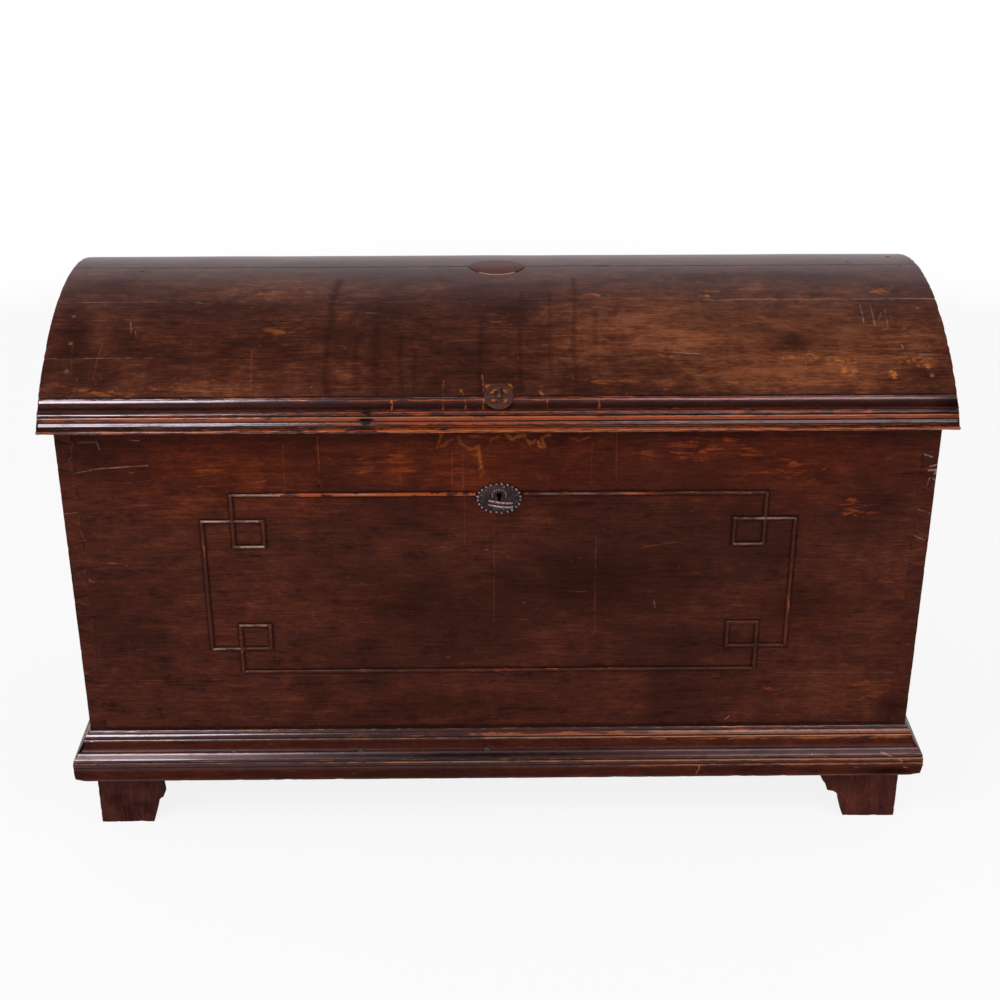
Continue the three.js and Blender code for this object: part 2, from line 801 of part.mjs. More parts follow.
function lockSpring() {
  const wallX = LOCK_LENGTH / 2 - LOCK_IRON - GAP;
  const tipX = boltTipX + BOLT_PLAY;
  const tipZ = barTop + GAP;
  const high = barTop + SPRING_RISE;
  const leaf = new THREE.Path();
  leaf.moveTo(wallX, high);
  leaf.lineTo(guideLeftX, high);
  leaf.quadraticCurveTo(armLeftX, high, tipX, tipZ);
  leaf.lineTo(tipX, tipZ + SPRING_IRON);
  leaf.quadraticCurveTo(armLeftX, high + SPRING_IRON, guideLeftX, high + SPRING_IRON);
  leaf.lineTo(wallX, high + SPRING_IRON);
  const solid = alongY(leaf.getPoints(CURVE_STEPS), boltFrontY, boltBackY);
  return piece('lock_spring', solid, blackIron);
}

// The keeper is a plate on the lid's front rail, with a lug that drops into the lock.
function lockKeeper() {
  const plateTop = lidBottom + GAP + KEEPER_PLATE_HEIGHT;
  const plateBackY = lockFrontY + LOCK_IRON + GAP;
  const half = KEEPER_THICKNESS / 2;
  const lug = alongX(
    points([
      [lockFrontY + LOCK_IRON / 2, plateTop],
      [keeperBackY - KEEPER_WALL, plateTop],
      [keeperBackY, plateTop - KEEPER_WALL],
      [keeperBackY, keeperBottom],
      [keeperFrontY, keeperBottom],
      [keeperFrontY, lidBottom + GAP],
      [lockFrontY + LOCK_IRON / 2, lidBottom + GAP],
    ]),
    -half,
    half,
  );
  const eye = boxBetween(
    [-half - OVERRUN, half + OVERRUN],
    [keeperFrontY + KEEPER_WALL, keeperBackY - KEEPER_WALL],
    [eyeBottom, eyeBottom + EYE_HEIGHT],
  );
  const plate = boxBetween(
    span(-KEEPER_PLATE_LENGTH / 2, KEEPER_PLATE_LENGTH / 2),
    [lockFrontY, plateBackY],
    [lidBottom + GAP, plateTop],
  );
  return piece('lock_keeper', plate.add(lug).subtract(eye), blackIron);
}

// Lid: coopered staves on two gables, between a moulded front rail and a plain back rail

// A point of the dome's circle, at an angle from straight up towards the back
function onDome(radius, angle) {
  return [radius * Math.sin(angle), domeCentreZ + radius * Math.cos(angle)];
}

function domeArc(radius, from, to, steps) {
  const arc = [];
  for (let i = 0; i <= steps; i += 1) {
    arc.push(onDome(radius, from + ((to - from) * i) / steps));
  }
  return arc;
}

// Lid moulding: shares of its reach and drop, from the dome's edge outwards and down to the rim. Its
// top face carries on the dome's slope, so the rosette can lie on both.
const railDrop = domeEdgeZ - lidBottom;
const frontReach = LID_FRONT_OVERHANG + DOME_EDGE_INSET;
const TOP_FACE_SHARE = 0.2;
const topFaceDropShare = (TOP_FACE_SHARE * frontReach * Math.tan(domeHalfAngle)) / railDrop;
const frontMouldingShares = [
  [0, 0],
  [TOP_FACE_SHARE, topFaceDropShare],
  [0.26, 0.235, 0.262, 0.275],
  [0.27, 0.47, 0.515, 0.478],
  [0.585, 0.478],
  [0.64, 0.51, 0.585, 0.548],
  [0.59, 0.63],
  [0.745, 0.64],
  [0.925, 0.8],
  [1, 0.79, 1, 0.875],
  [1, 1],
];

const backEdgeShares = [
  [0, 0],
  [0.45, 0.275],
  [0.97, 0.42, 1, 0.72],
  [1, 1],
];

// The rail's section, with a bevel on the dome's radius for the first stave
function railOutline(rowShares, sign, reach) {
  const outer = outlineOf(rowShares, (out, down) => [
    sign * (domeEdgeY + out * reach),
    domeEdgeZ - down * railDrop,
  ]);
  const bevelZ = domeCentreZ + innerHalfDepth / Math.tan(domeHalfAngle);
  return [
    ...points([
      [sign * innerHalfDepth, lidBottom],
      [sign * innerHalfDepth, bevelZ],
    ]),
    ...outer,
  ];
}

function frontRail() {
  const outline = railOutline(frontMouldingShares, -1, frontReach);
  return piece('lid_front_rail', alongX(outline, -lidHalfLength, lidHalfLength), wornWood);
}

function backRail() {
  const outline = railOutline(backEdgeShares, 1, LID_BACK_OVERHANG + DOME_EDGE_INSET);
  let rail = alongX(outline, -lidHalfLength, lidHalfLength);
  for (const { sign } of ENDS) {
    const x = sign * hingeX;
    const groove = boxBetween(
      [x - hingeRoom, x + hingeRoom],
      [innerHalfDepth - OVERRUN, hingeAxisY],
      [lidBottom - OVERRUN, lidBottom + HINGE_IRON + GAP],
    );
    rail = rail.subtract(groove).subtract(barrelNotch(x, hingeAxisZ + barrelRoom));
  }
  return piece('lid_back_rail', rail, lidWood);
}

const GABLE_STEPS = 40;

function gable({ side, sign }) {
  const reach = innerHalfDepth - GAP;
  const radius = domeInnerRadius - GAP;
  const angle = Math.asin(reach / radius);
  const outline = points([
    [-reach, lidBottom],
    [reach, lidBottom],
    ...domeArc(radius, angle, -angle, GABLE_STEPS),
  ]);
  const solid = alongX(outline, ...span(sign * innerHalfLength, sign * halfLength));
  return piece(`lid_gable_${side}`, solid, lidWood);
}

// Seams between the staves: shares of the dome's arc, from its front edge over to its back edge.
// The ridge seam is a little behind the crown, so the first and the last stave are narrow.
const RIDGE_SEAM_SHARE = 0.515;
const seamShares = [0.112, 0.314, RIDGE_SEAM_SHARE, 0.716, 0.917];

function arcAngle(share) {
  return (2 * share - 1) * domeHalfAngle;
}

// A lens-shaped patch let into the two staves over the ridge seam
const PATCH_LENGTH = 87;
const PATCH_WIDTH = 74;
const PATCH_DEPTH = 6;
const PATCH_PROUD = 1.2;
const PATCH_STEPS = 10;
const [ridgeY] = onDome(domeRadius, arcAngle(RIDGE_SEAM_SHARE));

function patchOutline(spare) {
  const reach = PATCH_LENGTH / 2 + spare;
  const bulge = PATCH_WIDTH / 2 + spare;
  const radius = (reach ** 2 + bulge ** 2) / (2 * bulge);
  const angle = Math.asin(Math.min(1, reach / radius));
  const lens = [];
  for (const sign of [-1, 1]) {
    for (let i = 0; i < PATCH_STEPS; i += 1) {
      const turn = -angle + (2 * angle * i) / PATCH_STEPS;
      const x = radius * Math.sin(turn);
      const y = radius * Math.cos(turn) - radius + bulge;
      lens.push([-sign * x, ridgeY - sign * y]);
    }
  }
  return points(lens);
}

// The layer of the dome between two radii, wide enough for the patch
function domeLayer(inner, outer, length) {
  const angle = PATCH_WIDTH / domeRadius;
  const arcs = [
    ...domeArc(inner, -angle, angle, PATCH_STEPS),
    ...domeArc(outer, angle, -angle, PATCH_STEPS),
  ];
  return alongX(points(arcs), -length, length);
}

function lidPatch() {
  const layer = domeLayer(domeRadius - PATCH_DEPTH, domeRadius + PATCH_PROUD, PATCH_LENGTH);
  const lens = alongZ(patchOutline(0), RIM_HEIGHT, RIM_HEIGHT + LID_RISE + OVERRUN);
  return piece('lid_patch', lens.intersect(layer), lidWood);
}

const STAVE_STEPS = 8;

// A stave stops half the gap short of each seam. The outermost two stop the whole gap short of the
// rails' bevels.
function staves() {
  const halfGap = GAP / 2 / domeInnerRadius;
  const edge = domeHalfAngle - halfGap;
  const seams = [-edge, ...seamShares.map(arcAngle), edge];
  const layer = domeLayer(domeRadius - PATCH_DEPTH - GAP, domeRadius + OVERRUN, PATCH_LENGTH);
  const recess = alongZ(patchOutline(GAP), RIM_HEIGHT, RIM_HEIGHT + LID_RISE + OVERRUN).intersect(layer);
  const made = [];
  for (let i = 0; i < seams.length - 1; i += 1) {
    const from = seams[i] + halfGap;
    const to = seams[i + 1] - halfGap;
    const section = points([
      ...domeArc(domeInnerRadius, from, to, STAVE_STEPS),
      ...domeArc(domeRadius, to, from, STAVE_STEPS),
    ]);
    const solid = alongX(section, -lidHalfLength, lidHalfLength).subtract(recess);
    made.push(piece(`lid_stave_${i + 1}`, solid, lidWood));
  }
  return made;
}

// A pierced iron rosette on the joint of dome and moulding, where the keeper's iron is clenched

const ROSETTE_RADIUS = 20.5;
const ROSETTE_IRON = 2;
const ROSETTE_RIM = 4.5;
const ROSETTE_ARM = 5;
const ROSETTE_BOSS_RADIUS = 6;
const ROSETTE_BOSS = 3;
const ROSETTE_SIDES = 40;
const ROSETTE_OPENING_STEPS = 6;
const ROSETTE_DROP = 1.6;

// One of four rounded openings, between two arms of the cross
function rosetteOpening(quarter) {
  const start = (quarter * Math.PI) / 2;
  const outer = ROSETTE_RADIUS - ROSETTE_RIM;
  const arm = ROSETTE_ARM / 2;
  const turn = Math.asin(arm / outer);
  const ring = [];
  for (let i = 0; i <= ROSETTE_OPENING_STEPS; i += 1) {
    const angle = turn + ((Math.PI / 2 - 2 * turn) * i) / ROSETTE_OPENING_STEPS;
    ring.push([outer * Math.cos(angle), outer * Math.sin(angle)]);
  }
  ring.push([arm, ROSETTE_BOSS_RADIUS], [ROSETTE_BOSS_RADIUS, arm]);
  const cos = Math.cos(start);
  const sin = Math.sin(start);
  return points(ring.map(([u, v]) => [u * cos - v * sin, u * sin + v * cos]));
}

function lidRosette() {
  const openings = [0, 1, 2, 3].map(rosetteOpening);
  const disc = alongZ(circle([0, 0], ROSETTE_RADIUS, ROSETTE_SIDES), 0, ROSETTE_IRON, openings);
  const boss = alongZ(
    circle([0, 0], ROSETTE_BOSS_RADIUS - GAP, PIN_SIDES),
    ROSETTE_IRON / 2,
    ROSETTE_IRON + ROSETTE_BOSS,
  );
  const rosette = grouped(piece('lid_rosette', disc.add(boss), blackIron));
  const along = new THREE.Vector3(0, -Math.cos(domeHalfAngle), -Math.sin(domeHalfAngle));
  const outward = new THREE.Vector3(0, -Math.sin(domeHalfAngle), Math.cos(domeHalfAngle));
  rosette.position.set(0, -domeEdgeY, domeEdgeZ);
  rosette.position.addScaledVector(along, ROSETTE_DROP).addScaledVector(outward, GAP);
  rosette.rotation.x = domeHalfAngle;
  return rosette;
}

// Strap hinges: a leaf and two knuckles on the back board, a long strap inside the lid, and a pin

const HINGE_PIN_RADIUS = 2.5;
const LEAF_HEIGHT = 90;
const STRAP_LENGTH = 300;
const MIDDLE_KNUCKLE = 14;
const BARREL_SIDES = 24;
const STRAP_STEPS = 22;

function barrel(from, to) {
  return alongX(circle([hingeAxisY, hingeAxisZ], BARREL_RADIUS, BARREL_SIDES), from, to);
}

function pinBore() {
  const bore = circle([hingeAxisY, hingeAxisZ], HINGE_PIN_RADIUS + GAP, BARREL_SIDES);
  return alongX(bore, -HINGE_WIDTH, HINGE_WIDTH);
}

function hingeLeaf() {
  const half = HINGE_WIDTH / 2;
  const middle = MIDDLE_KNUCKLE / 2 + GAP;
  let leaf = boxBetween([-half, half], [halfDepth + GAP, hingeAxisY], [RIM_HEIGHT - LEAF_HEIGHT, hingeAxisZ]);
  leaf = leaf.add(barrel(-half, -middle)).add(barrel(middle, half));
  leaf = leaf.subtract(
    boxBetween(
      [-middle, middle],
      [halfDepth - OVERRUN, hingeAxisY + OVERRUN],
      [hingeAxisZ - barrelRoom, hingeAxisZ + OVERRUN],
    ),
  );
  return leaf.subtract(pinBore());
}

// From the barrel the strap runs in under the back rail, up its inner face, and along the staves.
function hingeStrap() {
  const outerRadius = domeInnerRadius - GAP;
  const innerRadius = outerRadius - HINGE_IRON;
  const faceY = innerHalfDepth - GAP;
  const insideY = faceY - HINGE_IRON;
  const outerAngle = Math.asin(faceY / outerRadius);
  const innerAngle = Math.asin(insideY / innerRadius);
  const endAngle = outerAngle - STRAP_LENGTH / outerRadius;
  const side = points([
    [hingeAxisY, lidBottom],
    [hingeAxisY, lidBottom + HINGE_IRON],
    [faceY, lidBottom + HINGE_IRON],
    ...domeArc(outerRadius, outerAngle, endAngle, STRAP_STEPS),
    ...domeArc(innerRadius, endAngle, innerAngle, STRAP_STEPS),
    [insideY, lidBottom],
  ]);
  const half = HINGE_WIDTH / 2;
  const tongue = MIDDLE_KNUCKLE / 2;
  const shoulderY = hingeAxisY - barrelRoom - GAP;
  const [tipY] = onDome(outerRadius, endAngle);
  const plan = new THREE.Path();
  plan.moveTo(tongue, hingeAxisY);
  plan.lineTo(tongue, shoulderY);
  plan.lineTo(half, shoulderY);
  plan.lineTo(half, tipY + half);
  plan.absarc(0, tipY + half, half, 0, -Math.PI, true);
  plan.lineTo(-half, shoulderY);
  plan.lineTo(-tongue, shoulderY);
  plan.lineTo(-tongue, hingeAxisY);
  const outline = plan.getPoints(STRAP_STEPS / 2);
  const strap = alongX(side, -half, half).intersect(
    alongZ(outline, RIM_HEIGHT - OVERRUN, RIM_HEIGHT + LID_RISE),
  );
  return strap.add(barrel(-tongue, tongue)).subtract(pinBore());
}

function hingePin() {
  const half = HINGE_WIDTH / 2;
  return alongX(circle([hingeAxisY, hingeAxisZ], HINGE_PIN_RADIUS, PIN_SIDES), -half, half);
}

function hinge({ side, sign }) {
  const set = grouped(
    piece(`hinge_leaf_${side}`, hingeLeaf(), blackIron),
    piece(`hinge_strap_${side}`, hingeStrap(), blackIron),
    piece(`hinge_pin_${side}`, hingePin(), blackIron),
  );
  set.position.x = sign * hingeX;
  return set;
}

// The whole chest

const carcass = grouped(
  frontBoard(),
  backBoard(),
  ...ENDS.map(sideBoard),
  ...bottomBoards(),
);
const base = grouped(
  ...plinth(),
  ...nailPlaces.map(plinthNail),
  ...ENDS.flatMap((end) => [...foot(end, true), ...foot(end, false)]),
);
const frontTrim = grouped(
  ...panelStrips(),
  escutcheon(),
  ...ENDS.map(escutcheonPin),
);
const lock = grouped(lockCase(), lockBolt(), lockSpring(), lockKeeper());
const lid = grouped(
  frontRail(),
  backRail(),
  ...ENDS.map(gable),
  ...staves(),
  lidPatch(),
  lidRosette(),
);
const chest = grouped(carcass, base, frontTrim, lock, lid, ...ENDS.map(hinge));
chest.position.y = (LID_FRONT_OVERHANG - LID_BACK_OVERHANG) / 2;

export default chest;
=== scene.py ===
# A domed coffer chest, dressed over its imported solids. It follows the chest as it is put together:
# carcass, plinth and feet, the trim on the front, lock and hinges, the lid, then the studio.

import math
import random

import bmesh
import bpy
from mathutils import Matrix, Vector, kdtree, noise


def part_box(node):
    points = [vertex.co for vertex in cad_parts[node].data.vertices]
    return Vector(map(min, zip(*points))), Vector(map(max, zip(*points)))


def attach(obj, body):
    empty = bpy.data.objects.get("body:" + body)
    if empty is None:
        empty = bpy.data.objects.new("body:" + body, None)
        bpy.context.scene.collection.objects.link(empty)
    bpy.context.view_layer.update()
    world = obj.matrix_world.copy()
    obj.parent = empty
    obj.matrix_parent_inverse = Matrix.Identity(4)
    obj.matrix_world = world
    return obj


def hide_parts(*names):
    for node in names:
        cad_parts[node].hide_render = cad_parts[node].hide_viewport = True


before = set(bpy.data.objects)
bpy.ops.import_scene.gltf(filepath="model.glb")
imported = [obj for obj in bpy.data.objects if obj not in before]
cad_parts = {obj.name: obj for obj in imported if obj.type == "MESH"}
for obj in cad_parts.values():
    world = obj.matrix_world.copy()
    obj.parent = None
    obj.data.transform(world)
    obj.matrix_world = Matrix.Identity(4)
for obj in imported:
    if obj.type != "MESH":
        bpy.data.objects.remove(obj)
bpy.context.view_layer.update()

# Carcass: four boards 24 mm thick, planed by hand and joined by through dovetails. They were stained
# dark red-brown and varnished, and a century of use has rubbed the varnish thin on edges and in
# patches, where the orange-brown wood shows. All lengths here are in millimetres until a mesh is made.
MM = 0.001
BODY_LENGTH = 1266
BODY_DEPTH = 556
RIM_HEIGHT = 691
FOOT_HEIGHT = 98
BOARD = 24
MIDDLE_Y = 6
HALF_LENGTH = BODY_LENGTH / 2
HALF_DEPTH = BODY_DEPTH / 2
FRONT_Y = MIDDLE_Y - HALF_DEPTH
BACK_Y = MIDDLE_Y + HALF_DEPTH
SHARP_EDGE = math.radians(38)
FLAT_EDGE = math.radians(0.4)
EDGE_REACH = 6
EDGE_PITCH = 3
SWAY_SPAN = 110
DENT_SPAN = 11
DENT_REACH = 4
WELD = 0.01


def linear(code):
    """The linear colour of an sRGB hex value."""
    channels = [int(code[i:i + 2], 16) / 255 for i in (1, 3, 5)]
    return (*[c / 12.92 if c <= 0.04045 else ((c + 0.055) / 1.055) ** 2.4 for c in channels], 1.0)


def add(tree, kind, inputs=(), out=None, **settings):
    """Adds a node and gives its first live output, or the one named. Its inputs come in the order of
    its live sockets, or by name: a socket is linked and a value is set."""
    node = tree.nodes.new(kind)
    for name, value in settings.items():
        setattr(node, name, value)
    live = [socket for socket in node.inputs if socket.enabled]
    named = inputs.items() if isinstance(inputs, dict) else enumerate(inputs)
    for key, value in named:
        socket = node.inputs[key] if isinstance(key, str) else live[key]
        if isinstance(value, bpy.types.NodeSocket):
            tree.links.new(value, socket)
        else:
            socket.default_value = value
    return node.outputs[out] if out else next((s for s in node.outputs if s.enabled), None)


def new_finish(name):
    """An empty material, its node tree, and the place on the object in millimetres."""
    made = bpy.data.materials.new(name)
    made.use_nodes = True
    made.node_tree.nodes.clear()
    tree = made.node_tree
    spot = add(tree, "ShaderNodeTexCoord", out="Object")
    place = add(tree, "ShaderNodeVectorMath", {"Vector": spot, "Scale": 1 / MM}, operation="SCALE")
    return made, tree, place


def pattern(tree, place, size, detail=4.0, rough=0.55, twist=0.0):
    """A cloudy pattern from 0 to 1, with patches about size millimetres along X, Y and Z."""
    scaled = add(tree, "ShaderNodeVectorMath", [place, size], operation="DIVIDE")
    return add(
        tree,
        "ShaderNodeTexNoise",
        {"Vector": scaled, "Scale": 1.0, "Detail": detail, "Roughness": rough, "Distortion": twist},
    )


def step(tree, value, low, high):
    """Rises smoothly from 0 at low to 1 at high."""
    return add(tree, "ShaderNodeMapRange", [value, low, high], interpolation_type="SMOOTHSTEP")


def spots(tree, place, marks):
    """How strongly the nearest mark covers a place. A mark is its middle, its reach along X, Y and Z,
    and its strength."""
    total = 0.0
    for middle, reach, strength in marks:
        off = add(tree, "ShaderNodeVectorMath", [place, middle], operation="SUBTRACT")
        off = add(tree, "ShaderNodeVectorMath", [off, reach], operation="DIVIDE")
        far = add(tree, "ShaderNodeVectorMath", [off], operation="LENGTH")
        near = add(
            tree, "ShaderNodeMapRange", [far, 1.0, 0.0, 0.0, strength], interpolation_type="SMOOTHSTEP"
        )
        total = add(tree, "ShaderNodeMath", [total, near], operation="MAXIMUM")
    return total


def moved(tree, place, size, reach):
    """A place pushed about a little, so that the marks there get ragged outlines."""
    scaled = add(tree, "ShaderNodeVectorMath", {"Vector": place, "Scale": 1 / size}, operation="SCALE")
    push = add(
        tree,
        "ShaderNodeTexNoise",
        {"Vector": scaled, "Scale": 1.0, "Detail": 5.0, "Roughness": 0.65},
        out="Color",
    )
    push = add(tree, "ShaderNodeVectorMath", [push, (0.5, 0.5, 0.5)], operation="SUBTRACT")
    return add(tree, "ShaderNodeVectorMath", [push, reach, place], operation="MULTIPLY_ADD")


def strokes(tree, place, lines):
    """How strongly the nearest drawn line covers a place. A line is its half width, its strength and
    its points."""
    total = 0.0
    for half_width, strength, points in lines:
        for start, end in zip(points, points[1:]):
            run = Vector(end) - Vector(start)
            off = add(tree, "ShaderNodeVectorMath", [place, start], operation="SUBTRACT")
            share = add(
                tree, "ShaderNodeVectorMath", [off, run / run.length_squared], operation="DOT_PRODUCT"
            )
            share = add(tree, "ShaderNodeClamp", [share])
            nearest = add(
                tree, "ShaderNodeVectorMath", {"Vector": run, "Scale": share}, operation="SCALE"
            )
            far = add(tree, "ShaderNodeVectorMath", [off, nearest], operation="DISTANCE")
            near = add(
                tree,
                "ShaderNodeMapRange",
                [far, half_width, 0.0, 0.0, strength],
                interpolation_type="SMOOTHSTEP",
            )
            total = add(tree, "ShaderNodeMath", [total, near], operation="MAXIMUM")
    return total


def along_grain(axis, length, width):
    """A size that is long along the grain's axis and narrow across it."""
    return tuple(length if name == axis else width for name in "XYZ")


def rolled_out(tree, place):
    """Places on the dome, laid out flat: X, the way round the dome from its crown, and its radius."""
    x = add(tree, "ShaderNodeSeparateXYZ", [place], out="X")
    y = add(tree, "ShaderNodeSeparateXYZ", [place], out="Y")
    z = add(tree, "ShaderNodeSeparateXYZ", [place], out="Z")
    y = add(tree, "ShaderNodeMath", [y, MIDDLE_Y], operation="SUBTRACT")
    z = add(tree, "ShaderNodeMath", [z, DOME_CENTRE_Z], operation="SUBTRACT")
    turn = add(tree, "ShaderNodeMath", [y, z], operation="ARCTAN2")
    way = add(tree, "ShaderNodeMath", [turn, DOME_RADIUS], operation="MULTIPLY")
    square = add(tree, "ShaderNodeMath", [y, y], operation="MULTIPLY")
    square = add(tree, "ShaderNodeMath", [z, z, square], operation="MULTIPLY_ADD")
    radius = add(tree, "ShaderNodeMath", [square], operation="SQRT")
    return add(tree, "ShaderNodeCombineXYZ", [x, way, radius])


def old_varnish(
    name,
    grain="X",
    tones=("#2b130e", "#431f16", "#65321f"),
    rubbed="#823918",
    bare="#93491d",
    rub=0.0,
    edges=0.4,
    glow=(),
    warm=(),
    patches=(),
    worn_spots=(),
    worn_lines=(),
    stain_and_shade_spots=(),
    stain_and_shade_lines=(),
    scratches=(),
    scuffs_and_glints=(),
    gloss=0.36,
    level=0.05,
    sheen=0.0,
    haze=0.0,
    stray=64,
    scuff_and_glint_tone="#80665c",
    dome=False,
):
    """Stained softwood under old shellac. The stain sits in the grain as dark streaks, the shellac
    gives a soft reflection, and where it is rubbed through the orange-brown wood shows, dull."""
    made, tree, place = new_finish(name)
    if dome:
        place = rolled_out(tree, place)
    board = add(tree, "ShaderNodeAttribute", attribute_name="board", out="Fac")
    shift = add(tree, "ShaderNodeVectorMath", {0: (311.0, 97.0, 53.0)}, operation="SCALE")
    tree.links.new(board, shift.node.inputs["Scale"])
    own = add(tree, "ShaderNodeVectorMath", [place, shift], operation="ADD")
    flat = (1, 1, 0) if dome else (1, 0, 1)
    around = moved(tree, place, 26.0, tuple(stray * share for share in flat))
    nearby = moved(tree, place, 7.0, tuple(9 * share for share in flat))

    # Growth rings show as streaks about 12 mm wide, with finer lines between them. Fibres are drawn
    # 1.8 mm wide, coarser than real ones, to show.
    rings = pattern(tree, own, along_grain(grain, 150, 13), 6.0, 0.62, 0.6)
    fine = pattern(tree, own, along_grain(grain, 36, 3.0), 3.0, 0.55, 0.3)
    fibres = pattern(tree, own, along_grain(grain, 11, 1.8), 3.0, 0.65)
    mottle = pattern(tree, own, along_grain(grain, 44, 30), 8.0, 0.75, 0.4)
    clouds = pattern(tree, place, along_grain(grain, 300, 150), 5.0, 0.65, 0.4)
    streaks = add(tree, "ShaderNodeMath", [rings, 0.24], operation="MULTIPLY")
    streaks = add(tree, "ShaderNodeMath", [fine, 0.14, streaks], operation="MULTIPLY_ADD")
    streaks = add(tree, "ShaderNodeMath", [fibres, 0.14, streaks], operation="MULTIPLY_ADD")
    streaks = add(tree, "ShaderNodeMath", [mottle, 0.48, streaks], operation="MULTIPLY_ADD")
    lit = spots(tree, around, glow)
    streaks = add(tree, "ShaderNodeMath", [lit, 0.1, streaks], operation="MULTIPLY_ADD")
    dark, middle, light = [linear(tone) for tone in tones]
    colour = add(
        tree, "ShaderNodeMix", [step(tree, streaks, 0.39, 0.5), dark, middle], data_type="RGBA"
    )
    colour = add(
        tree, "ShaderNodeMix", [step(tree, streaks, 0.48, 0.72), colour, light], data_type="RGBA"
    )
    stain = add(tree, "ShaderNodeMath", [step(tree, clouds, 0.56, 0.36), 0.6], operation="MULTIPLY")
    colour = add(tree, "ShaderNodeMix", [stain, colour, dark], data_type="RGBA")
    grainy = add(tree, "ShaderNodeMath", [fine, 0.75, 0.25], operation="MULTIPLY_ADD")
    grainy = add(tree, "ShaderNodeMath", [fibres, 0.75, grainy], operation="MULTIPLY_ADD")
    colour = add(tree, "ShaderNodeVectorMath", {"Vector": colour, "Scale": grainy}, operation="SCALE")

    # Thinner varnish lets more of the red stain through
    redder = add(tree, "ShaderNodeClamp", [spots(tree, around, warm)])
    colour = add(
        tree,
        "ShaderNodeMix",
        [redder, colour, (1.0, 0.7, 0.5, 1.0)],
        data_type="RGBA",
        blend_type="MULTIPLY",
    )

    # Where the varnish is rubbed through: ragged streaks along the grain, more of them in some places
    ragged = pattern(tree, own, along_grain(grain, 44, 8), 8.0, 0.7, 0.5)
    more = spots(tree, around, patches)
    rubbing = add(tree, "ShaderNodeMath", [more, 0.17, ragged], operation="MULTIPLY_ADD")
    thin = step(tree, rubbing, 0.64 - rub, 0.78 - rub)
    uneven = add(tree, "ShaderNodeMath", [fibres, 1.3, 0.15], operation="MULTIPLY_ADD")
    thin = add(tree, "ShaderNodeMath", [thin, uneven], operation="MULTIPLY", use_clamp=True)
    colour = add(tree, "ShaderNodeMix", [thin, colour, linear(rubbed)], data_type="RGBA")

    # Dark runs down the face and dark clouds, soft at their sides; some of them are painted shade, in
    # bands under and beside raised parts
    run = add(
        tree,
        "ShaderNodeMath",
        [spots(tree, around, stain_and_shade_spots), strokes(tree, nearby, stain_and_shade_lines)],
        operation="MAXIMUM",
    )
    run = add(tree, "ShaderNodeMath", [run, mottle], operation="MULTIPLY")
    run = add(tree, "ShaderNodeMath", [run, 1.5], operation="MULTIPLY", use_clamp=True)
    blackened = tuple(0.36 * c for c in dark[:3]) + (1.0,)
    colour = add(tree, "ShaderNodeMix", [run, colour, blackened], data_type="RGBA")

    # Edges, and a few named places, worn to bare wood
    near = add(tree, "ShaderNodeAttribute", attribute_name="near_edge", out="Fac")
    edge = add(tree, "ShaderNodeMath", [step(tree, near, 0.5, 0.95), edges], operation="MULTIPLY")
    edge = add(tree, "ShaderNodeMath", [edge, rubbing], operation="ADD")
    at_edge = step(tree, near, 0.3, 0.7)
    edge = add(tree, "ShaderNodeMath", [step(tree, edge, 0.78, 1.0), at_edge], operation="MULTIPLY")
    flecks = pattern(tree, place, (9.0, 5.0, 9.0), 3.0, 0.6)
    flecks = add(
        tree, "ShaderNodeMath", [step(tree, flecks, 0.46, 0.57), 0.65, 0.35], operation="MULTIPLY_ADD"
    )
    flecked = add(
        tree, "ShaderNodeMath", [spots(tree, nearby, worn_spots), flecks], operation="MULTIPLY"
    )
    named = add(
        tree, "ShaderNodeMath", [flecked, strokes(tree, nearby, worn_lines)], operation="MAXIMUM"
    )
    named = add(tree, "ShaderNodeMath", [ragged, 1.1, named], operation="MULTIPLY_ADD")
    broken = step(tree, mottle, 0.36, 0.6)
    named = add(tree, "ShaderNodeMath", [step(tree, named, 0.78, 1.42), broken], operation="MULTIPLY")
    worn = add(tree, "ShaderNodeMath", [edge, named], operation="MAXIMUM")
    dots = add(tree, "ShaderNodeTexVoronoi", {"Vector": nearby, "Scale": 1 / 15}, out="Distance")
    chipped = add(tree, "ShaderNodeMath", [step(tree, dots, 0.09, 0.03), 0.36], operation="MULTIPLY")
    worn = add(tree, "ShaderNodeMath", [worn, chipped], operation="MAXIMUM")
    shown = add(tree, "ShaderNodeMath", [worn, 0.85], operation="MULTIPLY")
    colour = add(tree, "ShaderNodeMix", [shown, colour, linear(bare)], data_type="RGBA")

    # Old polish and dirt sit black in the corners, and the same darkening paints in the shade that falls
    # there; on the beading it is a painted shadow along its foot
    dirt_and_shade = add(tree, "ShaderNodeAttribute", attribute_name="darkening", out="Fac")
    dirt_and_shade = add(tree, "ShaderNodeMath", [mottle, 0.5, dirt_and_shade], operation="MULTIPLY_ADD")
    dirt_and_shade = add(tree, "ShaderNodeMath", [step(tree, dirt_and_shade, 0.5, 1.0), 0.9], operation="MULTIPLY")
    colour = add(tree, "ShaderNodeMix", [dirt_and_shade, colour, blackened], data_type="RGBA")

